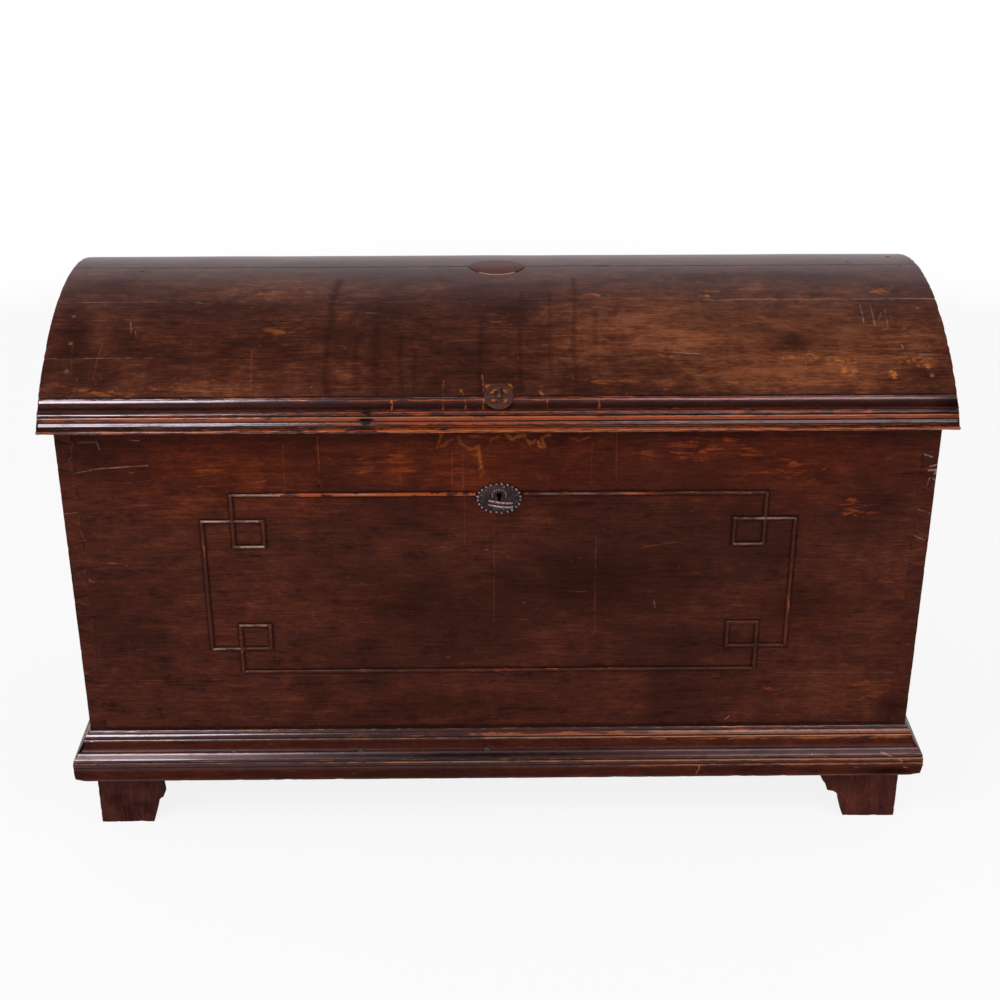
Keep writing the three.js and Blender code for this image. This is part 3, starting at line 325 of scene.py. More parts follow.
    # The inside was left bare and has gone a dull brown
    if dome:
        radius = add(tree, "ShaderNodeSeparateXYZ", [place], out="Z")
        along = add(tree, "ShaderNodeSeparateXYZ", [place], out="X")
        along = add(tree, "ShaderNodeMath", [along], operation="ABSOLUTE")
        inner = add(
            tree,
            "ShaderNodeMath",
            [
                add(tree, "ShaderNodeMath", [radius, DOME_RADIUS - 14], operation="LESS_THAN"),
                add(tree, "ShaderNodeMath", [along, HALF_LENGTH - BOARD], operation="LESS_THAN"),
            ],
            operation="MULTIPLY",
        )
    else:
        off = add(tree, "ShaderNodeVectorMath", [place, (0, MIDDLE_Y, 0)], operation="SUBTRACT")
        off = add(tree, "ShaderNodeVectorMath", [off], operation="ABSOLUTE")
        x = add(tree, "ShaderNodeSeparateXYZ", [off], out="X")
        y = add(tree, "ShaderNodeSeparateXYZ", [off], out="Y")
        inner = add(
            tree,
            "ShaderNodeMath",
            [
                add(tree, "ShaderNodeMath", [x, HALF_LENGTH - BOARD + 0.5], operation="LESS_THAN"),
                add(tree, "ShaderNodeMath", [y, HALF_DEPTH - BOARD + 0.5], operation="LESS_THAN"),
            ],
            operation="MULTIPLY",
        )
    timber = add(
        tree,
        "ShaderNodeMix",
        [step(tree, fine, 0.3, 0.7), linear("#4a3124"), linear("#7a563e")],
        data_type="RGBA",
    )
    colour = add(tree, "ShaderNodeMix", [inner, colour, timber], data_type="RGBA")

    # Thin orange scratches down to the wood, and pale scuffs of its torn fibres, both broken up; on the
    # beading the pale strokes are painted highlights instead
    close = moved(tree, place, 5.0, tuple(3 * share for share in flat))
    for tone, lines in (("#6e361c", scratches), (scuff_and_glint_tone, scuffs_and_glints)):
        mark = strokes(tree, close, lines)
        mark = add(tree, "ShaderNodeMath", [mark, broken], operation="MULTIPLY", use_clamp=True)
        colour = add(tree, "ShaderNodeMix", [mark, colour, linear(tone)], data_type="RGBA")

    # The rounds of mouldings are polished by hands and cloths, in broken lines. The flats are dull, and
    # dirt, painted shade and bare wood are duller still.
    polish = add(tree, "ShaderNodeAttribute", attribute_name="round", out="Fac")
    gaps = add(
        tree, "ShaderNodeMath", [step(tree, mottle, 0.34, 0.54), 0.35, 0.65], operation="MULTIPLY_ADD"
    )
    polish = add(tree, "ShaderNodeMath", [polish, gaps], operation="MULTIPLY")
    dull = add(tree, "ShaderNodeMath", [mottle, 0.2, gloss - 0.1], operation="MULTIPLY_ADD")
    dull = add(tree, "ShaderNodeMath", [worn, 0.2, dull], operation="MULTIPLY_ADD")
    smoothed = add(tree, "ShaderNodeMath", [polish, -0.6, 1.0], operation="MULTIPLY_ADD")
    dull = add(tree, "ShaderNodeMath", [dull, smoothed], operation="MULTIPLY")
    aslant = add(tree, "ShaderNodeLayerWeight", {"Blend": 0.5}, out="Facing")
    aslant = add(tree, "ShaderNodeMath", [aslant, 5.0], operation="POWER")
    cloudy = add(tree, "ShaderNodeMath", [mottle, 2 * sheen], operation="MULTIPLY")
    shine = add(tree, "ShaderNodeMath", [aslant, cloudy, level], operation="MULTIPLY_ADD")
    shine = add(tree, "ShaderNodeMath", [polish, 0.5, shine], operation="MULTIPLY_ADD")
    dull_part = add(tree, "ShaderNodeMath", [dirt_and_shade, run], operation="MAXIMUM")
    dull_part = add(tree, "ShaderNodeMath", [dull_part, inner], operation="MAXIMUM")
    clean = add(tree, "ShaderNodeMath", [dull_part, -0.85, 1.0], operation="MULTIPLY_ADD")
    shine = add(tree, "ShaderNodeMath", [shine, clean], operation="MULTIPLY")
    dull = add(tree, "ShaderNodeMath", [dull_part, 0.3, dull], operation="MULTIPLY_ADD")
    planed = pattern(tree, place, along_grain(grain, 150, 38), 2.0, 0.5)
    wave = add(tree, "ShaderNodeBump", {"Strength": 0.8, "Distance": 0.5 * MM, "Height": planed})
    raised = add(tree, "ShaderNodeMath", [ragged, 0.6, fibres], operation="MULTIPLY_ADD")
    relief = add(
        tree,
        "ShaderNodeBump",
        {"Strength": 0.5, "Distance": 0.12 * MM, "Height": raised, "Normal": wave},
    )
    shader = add(
        tree,
        "ShaderNodeBsdfPrincipled",
        {
            "Base Color": colour,
            "Roughness": dull,
            "IOR": 1.45,
            "Specular IOR Level": shine,
            "Specular Tint": linear("#f2e6f0"),
            "Sheen Weight": haze,
            "Sheen Roughness": 0.45,
            "Sheen Tint": linear("#d9b4c2"),
            "Normal": relief,
        },
    )
    add(tree, "ShaderNodeOutputMaterial", {"Surface": shader})
    return made


def finish_mesh(name, work, material, body, smooth=15):
    """Turns the work into a piece with its finish that rides on a body."""
    mesh = bpy.data.meshes.new(name)
    work.to_mesh(mesh)
    work.free()
    for face in mesh.polygons:
        face.use_smooth = True
    mesh.set_sharp_from_angle(angle=math.radians(smooth))
    mesh.materials.append(material)
    made = bpy.data.objects.new(name, mesh)
    bpy.context.scene.collection.objects.link(made)
    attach(made, body)
    return made


def worn_copy(node, material, body, soften=0.6, net=None, dent=0.0, sway=0.0, board=0, smooth=15):
    """A CAD node's shape as a worn piece: its sharp edges are softened and dented, and its faces are
    cut by a net, so that they can be a little uneven."""
    work = bmesh.new()
    work.from_mesh(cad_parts[node].data)
    bmesh.ops.remove_doubles(work, verts=work.verts, dist=WELD * MM)
    bmesh.ops.dissolve_limit(work, angle_limit=FLAT_EDGE, verts=work.verts, edges=work.edges)
    sharp = [e for e in work.edges if e.is_manifold and e.calc_face_angle() > SHARP_EDGE]
    points = []
    for edge in (e for e in sharp if e.calc_face_angle_signed() > 0):
        start, end = [v.co.copy() for v in edge.verts]
        count = max(1, int((end - start).length / (EDGE_PITCH * MM)))
        points += [start.lerp(end, i / count) for i in range(count + 1)]
    near = kdtree.KDTree(max(1, len(points)))
    for index, point in enumerate(points):
        near.insert(point, index)
    near.balance()
    if soften:
        bmesh.ops.bevel(
            work,
            geom=sharp,
            offset=soften * MM,
            segments=2,
            profile=0.6,
            affect="EDGES",
            clamp_overlap=True,
        )
    low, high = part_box(node)
    for axis, pitch in enumerate(net or ()):
        if not pitch:
            continue
        count = int((high[axis] - low[axis]) / (pitch * MM))
        for i in range(1, count):
            cut = Vector((0, 0, 0))
            cut[axis] = low[axis] + (high[axis] - low[axis]) * i / count
            normal = Vector((0, 0, 0))
            normal[axis] = 1
            bmesh.ops.bisect_plane(
                work,
                geom=work.verts[:] + work.edges[:] + work.faces[:],
                dist=0.001 * MM,
                plane_co=cut,
                plane_no=normal,
            )
    bmesh.ops.triangulate(work, faces=[f for f in work.faces if len(f.verts) > 4])
    work.normal_update()
    near_edge = work.verts.layers.float.new("near_edge")
    own = work.verts.layers.float.new("board")
    moves = []
    for vert in work.verts:
        place = vert.co / MM
        distance = near.find(vert.co)[2] / MM if points else 99
        vert[near_edge] = max(0.0, 1 - distance / EDGE_REACH)
        vert[own] = board
        lift = sway * noise.noise(place / SWAY_SPAN)
        if distance < DENT_REACH:
            dip = max(0.0, noise.noise(place / DENT_SPAN) - 0.1)
            lift -= dent * dip * (1 - distance / DENT_REACH)
        moves.append(vert.normal * lift * MM)
    for vert, move in zip(work.verts, moves):
        vert.co += move
    made = finish_mesh(f"{node}_worn", work, material, body, smooth)
    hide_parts(node)
    return made


def on_front(points):
    return [(x, FRONT_Y, z) for x, z in points]


def front_spot(x, z, reach_x, reach_z, strength, reach_y=40):
    return ((x, FRONT_Y, z), (reach_x, reach_y, reach_z), strength)


# Marks on the front: a spot is (middle, reach, strength), a line is (half width, strength, points)
FRONT_GLOW = [
    front_spot(-390, 610, 260, 100, 1.0),
    front_spot(-90, 620, 220, 80, 0.8),
    front_spot(400, 600, 260, 90, 0.7),
    front_spot(560, 420, 110, 160, 0.6),
    front_spot(520, 230, 180, 70, 1.0),
]
FRONT_WARM = [
    front_spot(-380, 640, 440, 150, 1.1),
    front_spot(0, 640, 460, 150, 1.3),
    front_spot(400, 640, 440, 150, 1.0),
]
FRONT_PATCHES = [
    front_spot(-150, 625, 120, 45, 0.9),
    front_spot(-25, 640, 70, 60, 1.0),
    front_spot(290, 645, 130, 30, 1.25),
    front_spot(210, 640, 40, 20, 0.9),
    front_spot(435, 618, 100, 50, 1.0),
    front_spot(525, 545, 60, 24, 1.0),
    front_spot(562, 430, 70, 24, 1.0),
    front_spot(565, 240, 80, 30, 1.1),
    front_spot(400, 235, 140, 30, 0.6),
    front_spot(210, 225, 70, 30, 0.8),
    front_spot(-390, 610, 190, 60, 0.7),
    front_spot(-300, 250, 90, 20, 0.7),
    front_spot(0, 300, 420, 24, 0.35),
]
FRONT_WORN = [
    front_spot(-27, 616, 10, 34, 0.9, 20),
    front_spot(-19, 485.5, 5, 3.4, 0.8, 20),
    front_spot(36, 395, 6, 6, 0.6, 20),
]
FRONT_WORN_LINES = [
    (5.5, 0.8, on_front([(-88, 652), (-86, 662), (-82, 674)])),
    (5.0, 0.8, on_front([(-86, 654), (-78, 656), (-73, 662), (-59, 667)])),
    (5.0, 0.85, on_front([(-59, 670), (-55, 658), (-48, 651), (-39, 648), (-30, 653)])),
    (6.0, 0.85, on_front([(-30, 653), (-28, 642), (-27, 629)])),
    (4.5, 0.6, on_front([(-17, 650), (-13, 654), (-11, 665), (0, 668)])),
    (6.5, 0.75, on_front([(11, 670), (18, 664), (26, 668), (36, 670)])),
    (5.0, 0.7, on_front([(35, 668), (45, 656), (51, 661)])),
    (6.0, 0.85, on_front([(56, 660), (57, 652), (64, 651), (62, 667), (72, 670)])),
    (5.0, 0.6, on_front([(101, 666), (114, 661), (129, 666)])),
    (5.0, 0.6, on_front([(-200, 676), (-96, 674)])),
    (5.0, 0.5, on_front([(80, 675), (190, 675)])),
]
FRONT_SCRATCHES = [
    (1.5, 0.6, on_front([(-408, 451), (-389, 418)])),
    (1.5, 0.55, on_front([(-626, 266), (-529, 264), (-396, 266)])),
    (1.5, 0.75, on_front([(-68, 652), (-68, 588)])),
    (1.5, 0.7, on_front([(-52, 648), (-52, 586)])),
    (1.5, 0.45, on_front([(-50, 578), (-51, 497)])),
    (1.5, 0.4, on_front([(-7, 558), (-8, 362)])),
    (1.5, 0.5, on_front([(142, 505), (144, 343)])),
    (1.5, 0.45, on_front([(133, 657), (133, 592)])),
    (1.5, 0.65, on_front([(168, 676), (169, 589)])),
    (1.5, 0.45, on_front([(-143, 611), (-143, 590)])),
    (1.6, 0.9, on_front([(-259, 669), (-259, 582)])),
    (1.7, 0.5, on_front([(-309, 660), (-310, 573)])),
    (1.6, 0.7, on_front([(213, 489), (262, 497), (281, 490)])),
    (1.6, 0.6, on_front([(84, 417), (129, 414)])),
    (1.8, 0.5, on_front([(198, 217), (223, 211)])),
]
FRONT_SCUFFS = [
    (1.6, 0.8, on_front([(-633, 615), (-616, 617), (-611, 614), (-576, 621), (-504, 626)])),
    (1.3, 0.4, on_front([(-612, 674), (-608, 661), (-611, 642), (-616, 634)])),
    (2.2, 0.35, on_front([(-599, 662), (-573, 663), (-570, 652)])),
    (1.3, 0.4, on_front([(-536, 598), (-503, 602)])),
    (1.3, 0.5, on_front([(-633, 549), (-614, 551)])),
    (1.4, 0.9, on_front([(-526, 666), (-513, 665)])),
    (1.5, 0.9, on_front([(-585, 469), (-564, 467)])),
    (2.0, 0.8, on_front([(-21, 486), (-17, 486)])),
    (1.6, 1.4, on_front([(232, 397), (234, 387)])),
    (1.6, 1.0, on_front([(351, 186), (358, 192)])),
    (1.1, 0.25, on_front([(424, 271), (608, 269)])),
    (2.0, 0.9, on_front([(610, 672), (614, 661), (621, 663), (631, 669)])),
    (1.8, 1.0, on_front([(612, 637), (624, 632)])),
    (1.8, 0.9, on_front([(612, 622), (614, 636)])),
    (2.4, 1.2, on_front([(623, 618), (632, 620)])),
    (2.2, 1.2, on_front([(621, 611), (632, 612), (630, 605)])),
    (1.8, 1.0, on_front([(621, 588), (624, 599)])),
    (2.1, 1.1, on_front([(629, 598), (633, 595)])),
    (1.7, 1.0, on_front([(612, 548), (630, 542)])),
    (1.7, 0.9, on_front([(615, 536), (631, 541)])),
    (1.7, 0.9, on_front([(612, 505), (628, 497)])),
    (1.6, 0.7, on_front([(613, 485), (620, 487)])),
    (1.6, 0.7, on_front([(-611, 520), (-607, 505)])),
    (1.5, 0.5, on_front([(-609, 440), (-600, 436)])),
]
FRONT_STAINS_AND_SHADE = [
    front_spot(150, 430, 240, 90, 0.6, 20),
    front_spot(-150, 400, 200, 60, 0.4, 20),
    front_spot(-580, 655, 70, 30, 0.5, 20),
    front_spot(450, 380, 120, 60, 0.5, 20),
    front_spot(-60, 215, 260, 36, 0.5, 20),
    front_spot(610, 200, 36, 60, 0.6, 20),
    # Painted shade: a dark band just under the lid's moulding
    front_spot(330, 672, 300, 14, 0.5, 20),
]

# A dark line along the joint with the plinth, then painted shadow: dark bands on the board along each
# strip of beading
FRONT_JOINT_AND_SHADE_LINES = [(6, 0.9, on_front([(-630, 177), (630, 177)]))]
for sign in (-1, 1):
    FRONT_JOINT_AND_SHADE_LINES += [
        (8, 1.0, on_front([(sign * x, z) for x, z in line]))
        for line in (
            [(34, 578), (389, 578), (389, 494), (344, 494), (344, 536), (434, 536), (434, 320)],
            [(434, 320), (344, 320), (344, 361), (389, 361), (389, 280), (0, 280)],
        )
    ]

board_varnish = old_varnish(
    "shellac_on_stained_boards",
    glow=FRONT_GLOW,
    warm=FRONT_WARM,
    patches=FRONT_PATCHES,
    worn_spots=FRONT_WORN,
    worn_lines=FRONT_WORN_LINES,
    scratches=FRONT_SCRATCHES,
    scuffs_and_glints=FRONT_SCUFFS,
    stain_and_shade_spots=FRONT_STAINS_AND_SHADE,
    stain_and_shade_lines=FRONT_JOINT_AND_SHADE_LINES,
    edges=0.24,
)
side_varnish = old_varnish("shellac_on_stained_side_boards", grain="Y", edges=0.1)
BOARD_NET = (9, 0, 7)
worn_copy("front_board", board_varnish, "chest", 0.5, BOARD_NET, 1.2, 0.4, 1)
worn_copy("back_board", board_varnish, "chest", 0.5, BOARD_NET, 1.2, 0.4, 2)
for index, side in enumerate(("left", "right")):
    worn_copy(
        f"side_board_{side}", side_varnish, "chest", 0.5, (0, 9, 7), 1.2, 0.4, 3 + index
    )


# Bottom: three sawn planks nailed up under the carcass, never stained. Aged bare softwood is a dull
# grey-brown with a rough, dry face.
def bare_softwood(name, grain):
    made, tree, place = new_finish(name)
    rings = pattern(tree, place, along_grain(grain, 240, 12), 5.0, 0.6, 0.6)
    fibres = pattern(tree, place, along_grain(grain, 50, 1.6), 3.0, 0.6)
    darkening = pattern(tree, place, (120.0, 120.0, 120.0), 5.0, 0.6)
    streaks = add(tree, "ShaderNodeMath", [fibres, 0.5, rings], operation="MULTIPLY_ADD")
    colour = add(
        tree,
        "ShaderNodeMix",
        [step(tree, streaks, 0.5, 1.0), linear("#4c3526"), linear("#74553d")],
        data_type="RGBA",
    )
    grime = add(tree, "ShaderNodeMath", [step(tree, darkening, 0.45, 0.7), 0.6], operation="MULTIPLY")
    colour = add(tree, "ShaderNodeMix", [grime, colour, linear("#3f2c20")], data_type="RGBA")
    dry = add(tree, "ShaderNodeMath", [fibres, 0.2, 0.62], operation="MULTIPLY_ADD")
    relief = add(tree, "ShaderNodeBump", {"Strength": 0.7, "Distance": 0.3 * MM, "Height": fibres})
    shader = add(
        tree,
        "ShaderNodeBsdfPrincipled",
        {"Base Color": colour, "Roughness": dry, "Specular IOR Level": 0.3, "Normal": relief},
    )
    add(tree, "ShaderNodeOutputMaterial", {"Surface": shader})
    return made


sawn_plank = bare_softwood("sawn_softwood_planks", "X")
sawn_block = bare_softwood("sawn_softwood_blocks", "Z")


def refinish(node, material):
    """Gives a CAD node that keeps its shape a finished surface."""
    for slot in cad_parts[node].material_slots:
        slot.material = material


for number in (1, 2, 3):
    refinish(f"bottom_board_{number}", sawn_plank)


# Plinth: a softwood moulding run with a plane, 76 mm high, mitred at the two front corners and nailed
# on. Its fillets and rounds are rubbed to the orange wood, and its lower corners are chipped.
PLINTH_HEIGHT = 76
PLINTH_REACH = 28
GAP = 0.3
PLINTH_SHARES = [
    (0, 0),
    (1, 0),
    (1, 0.27),
    (0.985, 0.3),
    (0.945, 0.322),
    (0.972, 0.345),
    (0.99, 0.39, 0.955, 0.418),
    (0.915, 0.43),
    (0.94, 0.452),
    (0.94, 0.48, 0.885, 0.502),
    (0.8, 0.556, 0.64, 0.6),
    (0.615, 0.602),
    (0.385, 0.625, 0.37, 0.812),
    (0.378, 0.825),
    (0.365, 0.845),
    (0.29, 0.851),
    (0.31, 0.872),
    (0.26, 0.94, 0.12, 0.957),
    (0.07, 0.972),
    (0.05, 1),
    (0, 1),
]


CURVE_STEPS = 8


def outline_of(rows, place):
    """Follows rows of shares: two values are a corner, four are a curve's control point and its end."""
    path = []
    for row in rows:
        end = Vector(place(*row[-2:]))
        if len(row) == 4:
            start, control = path[-1], Vector(place(*row[:2]))
            for i in range(1, CURVE_STEPS):
                t = i / CURVE_STEPS
                path.append(start * (1 - t) ** 2 + control * 2 * t * (1 - t) + end * t * t)
        path.append(end)
    return path


def eased(path, cut):
    """Takes the point off each clear corner of a closed outline."""
    made = []
    for i, here in enumerate(path):
        into, out = here - path[i - 1], path[(i + 1) % len(path)] - here
        if into.length > 1e-6 and out.length > 1e-6 and into.angle(out) > math.radians(24):
            made.append(here - into.normalized() * min(cut, 0.4 * into.length))
            made.append(here + out.normalized() * min(cut, 0.4 * out.length))
        else:
            made.append(here)
    return made


def spaced(path, pitch):
    """Divides the long sides of a closed outline."""
    made = []
    for i, here in enumerate(path):
        after = path[(i + 1) % len(path)]
        count = max(1, math.ceil((after - here).length / pitch))
        made += [here.lerp(after, k / count) for k in range(count)]
    return made


ARRIS_REACH = 2.6


def shape_of(path):
    """For each point of a closed outline: the way out of it, how near it is to a sharp edge, how
    rounded it is there, and how deep in a corner it lies."""
    area = sum(a.x * b.y - b.x * a.y for a, b in zip(path, path[1:] + path[:1]))
    sense = 1 if area > 0 else -1
    ways, turns = [], []
    for i, here in enumerate(path):
        into = (here - path[i - 1]).normalized()
        out = (path[(i + 1) % len(path)] - here).normalized()
        along = into + out
        ways.append(Vector((along.y, -along.x)).normalized() * sense)
        turns.append(sense * math.degrees(math.atan2(into.x * out.y - into.y * out.x, into.dot(out))))

    def bend(here, reach, way=1):
        near = [t * way for there, t in zip(path, turns) if (there - here).length < reach]
        return sum(t for t in near if t > 0)

    corners = [here for here in path if bend(here, 1.0) > 35]
    near = [max(0.0, 1 - min((p - c).length for c in corners) / ARRIS_REACH) for p in path]
    rounds = [min(1.0, max(0.0, (bend(here, 2.2) - 6) / 12)) for here in path]
    deep = [min(1.0, max(0.0, (bend(here, 1.4, -1) - 24) / 40)) for here in path]
    return ways, near, rounds, deep


END_ROUNDING = ((0.0, 1.0), (0.35, 0.35), (1.1, 0.08), (2.6, 0.0))
RUN_SWAY_SPAN = 95
CHIP_SPAN = 13
RAGGED_SPAN = 9
RAGGED_REACH = 3


def moulded(
    name,
    path,
    ends,
    material,
    body,
    pitch=6,
    rounded=(True, True),
    chip=1.4,
    sway=0.3,
    board=0,
    chips=(),
    ragged=0.0,
    smooth=32,
    rub=1.0,
    polish=1.0,
):
    """Runs a closed outline between its two ends, and wears it. ends gives the places in millimetres
    of an outline point at both ends of the run."""
    directions, near, rounds, deep = shape_of(path)
    far = max((Vector(ends(p)[1]) - Vector(ends(p)[0])).length for p in path)
    count = max(2, round(far / pitch))
    stations = [(i / count, 0.0) for i in range(count + 1)]
    if rounded[0]:
        stations = [(d / far, inset) for d, inset in END_ROUNDING] + stations[1:]
    if rounded[1]:
        stations = stations[:-1] + [(1 - d / far, inset) for d, inset in reversed(END_ROUNDING)]
    work = bmesh.new()
    near_edge = work.verts.layers.float.new("near_edge")
    roundness = work.verts.layers.float.new("round")
    darkening = work.verts.layers.float.new("darkening")
    own = work.verts.layers.float.new("board")
    rings = []
    for share, inset in stations:
        ring = []
        for point, direction, edge, bow, hollow in zip(path, directions, near, rounds, deep):
            start, end = [Vector(p) for p in ends(point)]
            shifted = [Vector(p) for p in ends(point + direction)]
            out = (shifted[0].lerp(shifted[1], share) - start.lerp(end, share)).normalized()
            place = start.lerp(end, share)
            near_end = min(share, 1 - share) * far
            lift = sway * noise.noise(place / RUN_SWAY_SPAN) - inset
            lift -= chip * max(0.0, 3 * edge - 2) * max(0.0, noise.noise(place / CHIP_SPAN) - 0.12)
            for middle, reach, depth in chips:
                away = (place - Vector(middle)).length / reach
                lift -= depth * max(0.0, 1 - away) * (0.6 + 0.8 * abs(noise.noise(place / 5)))
            place = place + out * lift
            if ragged and near_end < RAGGED_REACH:
                inwards = 1 if share < 0.5 else -1
                bite = max(0.0, noise.noise(place / RAGGED_SPAN) + 0.1) * (1 - near_end / RAGGED_REACH)
                place += (end - start).normalized() * inwards * ragged * bite
            vert = work.verts.new(place * MM)
            vert[near_edge] = max(rub * edge, 1 - near_end / EDGE_REACH if any(rounded) else 0.0)
            if (rounded[0] and share == 0) or (rounded[1] and share == 1):
                vert[near_edge] = 0.4
            vert[roundness] = polish * bow
            # Dark in the hollows: dirt, and painted shade
            vert[darkening] = rub * hollow
            vert[own] = board
            ring.append(vert)
        rings.append(ring)
    for ring, after in zip(rings, rings[1:]):
        for i in range(len(ring)):
            k = (i + 1) % len(ring)
            work.faces.new((ring[i], ring[k], after[k], after[i]))
    for ring in (rings[0], rings[-1]):
        face = work.faces.new(ring)
        bmesh.ops.triangulate(work, faces=[face])
    bmesh.ops.recalc_face_normals(work, faces=work.faces)
    return finish_mesh(name, work, material, body, smooth)


MOULDING_TONES = ("#2a110c", "#40190f", "#5a2a17")
PLINTH_SCRATCHES = [
    (1.8, 0.9, [(493, -290, 156), (488, -292, 146), (486, -297, 136)]),
    (1.4, 0.9, [(311, -300, 120), (311, -300, 112), (307, -300, 104)]),
    (2.4, 0.9, [(595, -296, 138), (611, -298, 132)]),
    (2.2, 0.9, [(623, -299, 128), (628, -300, 123)]),
    (1.8, 1.0, [(555, -300, 113), (560, -300, 113)]),
    (1.8, 1.0, [(632, -300, 113), (637, -300, 112)]),
]
moulding_varnish = old_varnish(
    "rubbed_shellac_on_mouldings",
    tones=MOULDING_TONES,
    rubbed="#97522b",
    bare="#a4653a",
    edges=0.3,
    gloss=0.3,
    stray=5,
    glow=[((420, -290, 158), (380, 60, 18), 1.2), ((560, -290, 120), (120, 60, 20), 0.6)],
    patches=[
        ((380, -284, 165), (860, 60, 8.5), 2.2),
        ((480, -284, 158), (460, 60, 5), 1.5),
        ((460, -298, 129), (660, 60, 3.4), 2.3),
        ((480, -299, 120), (560, 60, 3), 1.7),
        ((0, -284, 168), (420, 60, 4), 1.0),
        ((-60, -300, 129), (360, 60, 3), 0.9),
    ],
    # The first mark is painted shade: a dark, dull band along the middle of the torus, where its highlight
    # fades
    stain_and_shade_spots=[((-40, -290, 138), (460, 60, 8), 1.4), ((610, -300, 106), (60, 60, 12), 1.2)],
    scuffs_and_glints=PLINTH_SCRATCHES,
    scuff_and_glint_tone="#a06a4c",
)
side_moulding_varnish = old_varnish(
    "rubbed_shellac_on_side_mouldings",
    grain="Y",
    tones=MOULDING_TONES,
    bare="#a85720",
    edges=0.42,
    gloss=0.3,
)
plinth_path = outline_of(
    PLINTH_SHARES, lambda out, up: (GAP + out * (PLINTH_REACH - GAP), FOOT_HEIGHT + up * PLINTH_HEIGHT)
)
plinth_path = spaced(eased(eased(plinth_path, 0.7), 0.25), 1.8)
MITRE = GAP / math.sqrt(2)


def front_run(point):
    reach = HALF_LENGTH + point.x - MITRE
    return ((-reach, FRONT_Y - point.x, point.y), (reach, FRONT_Y - point.x, point.y))


def side_run(sign):
    return lambda point: (
        (sign * (HALF_LENGTH + point.x), FRONT_Y - point.x + MITRE, point.y),
        (sign * (HALF_LENGTH + point.x), BACK_Y, point.y),
    )


PLINTH_CHIPS = [
    ((-661, -300, 98), 16, 5.0),
    ((-661, -300, 118), 9, 2.0),
    ((661, -300, 98), 18, 5.5),
    ((645, -300, 126), 12, 2.4),
    ((610, -299, 128), 10, 1.8),
    ((520, -298, 130), 9, 1.4),
    ((-330, -300, 98), 8, 1.6),
]
front_plinth = moulded(
    "plinth_front_worn",
    plinth_path,
    front_run,
    moulding_varnish,
    "chest",
    rounded=(False, False),
    board=5,
    chips=PLINTH_CHIPS,
)
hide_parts("plinth_front")
for side, sign in (("left", -1), ("right", 1)):
    run = moulded(
        f"plinth_{side}_worn",
        plinth_path,
        side_run(sign),
        side_moulding_varnish,
        "chest",
        rounded=(False, True),
        board=6 + sign,
        chips=PLINTH_CHIPS,
    )
    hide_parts(f"plinth_{side}")


# Plinth nails: three hand-forged nails through the front moulding, their heads set a little below its
# face. Forged iron is dark and dull, hammered flat in small facets, with brown rust in the hollows.
def forged_iron(name, base, rust, metal=0.8, low=0.42, bright="#6d6567", gloss=0.5):
    made, tree, place = new_finish(name)
    hammered = add(
        tree,
        "ShaderNodeTexVoronoi",
        {"Vector": place, "Scale": 1 / 7, "Randomness": 1.0},
        feature="SMOOTH_F1",
        out="Distance",
    )
    rusty = pattern(tree, place, (16.0, 16.0, 16.0), 6.0, 0.65, 0.5)
    pits = pattern(tree, place, (1.6, 1.6, 1.6), 3.0, 0.6)
    edge = add(tree, "ShaderNodeAttribute", attribute_name="near_edge", out="Fac")
    edge = add(tree, "ShaderNodeMath", [edge, 5.0], operation="POWER")
    worn = add(tree, "ShaderNodeAttribute", attribute_name="crown_share", out="Fac")
    worn = add(tree, "ShaderNodeMath", [edge, worn], operation="MAXIMUM")
    rust_mask = step(tree, rusty, 0.5, 0.66)
    colour = add(tree, "ShaderNodeMix", [rust_mask, linear(base), linear(rust)], data_type="RGBA")
    # Rubbed crowns and edges take the bright colour; on the rosette it is partly a painted highlight
    polished = add(tree, "ShaderNodeMath", [worn, pits], operation="MULTIPLY")
    polished = step(tree, polished, 0.3, 0.7)
    colour = add(tree, "ShaderNodeMix", [polished, colour, linear(bright)], data_type="RGBA")
    dull = add(tree, "ShaderNodeMath", [rust_mask, 0.25, low], operation="MULTIPLY_ADD")
    dull = add(tree, "ShaderNodeMath", [pits, 0.12, dull], operation="MULTIPLY_ADD")
    beaten = add(tree, "ShaderNodeBump", {"Strength": 0.6, "Distance": 1.2 * MM, "Height": hammered})
    relief = add(
        tree,
        "ShaderNodeBump",
        {"Strength": 0.6, "Distance": 0.15 * MM, "Height": pits, "Normal": beaten},
    )
    shader = add(
        tree,
        "ShaderNodeBsdfPrincipled",
        {
            "Base Color": colour,
            "Metallic": metal,
            "Roughness": dull,
            "Specular IOR Level": gloss,
            "Normal": relief,
        },
    )
    add(tree, "ShaderNodeOutputMaterial", {"Surface": shader})
    return made


nail_iron = forged_iron("forged_nail_iron", "#3a2e2f", "#4c2c22", 0.45)
for number in (1, 2, 3):
    worn_copy(f"plinth_nail_{number}", nail_iron, "chest", 0.5, smooth=30)


# Feet: bracket feet sawn from board, a shaped face and a side board at each corner, glued round a
# corner block. The edges near the floor are rounded and splintered by a century of moving.
FOOT_TONES = ("#2b1513", "#47231e", "#613026")
foot_varnish = old_varnish(
    "shellac_on_feet",
    grain="Z",
    tones=FOOT_TONES,
    rubbed="#6e2c18",
    bare="#7e4028",
    rub=0.02,
    edges=0.3,
    glow=[((580, -275, 60), (120, 60, 70), 0.9)],
    stain_and_shade_spots=[((-607, -275, 44), (26, 40, 28), 0.9), ((-565, -275, 27), (32, 40, 22), 0.8)],
)
foot_side_varnish = old_varnish(
    "shellac_on_foot_sides",
    grain="Y",
    tones=FOOT_TONES,
    rubbed="#6e2c18",
    bare="#7e4028",
    rub=0.02,
    edges=0.3,
)
LOST_TIP = 26


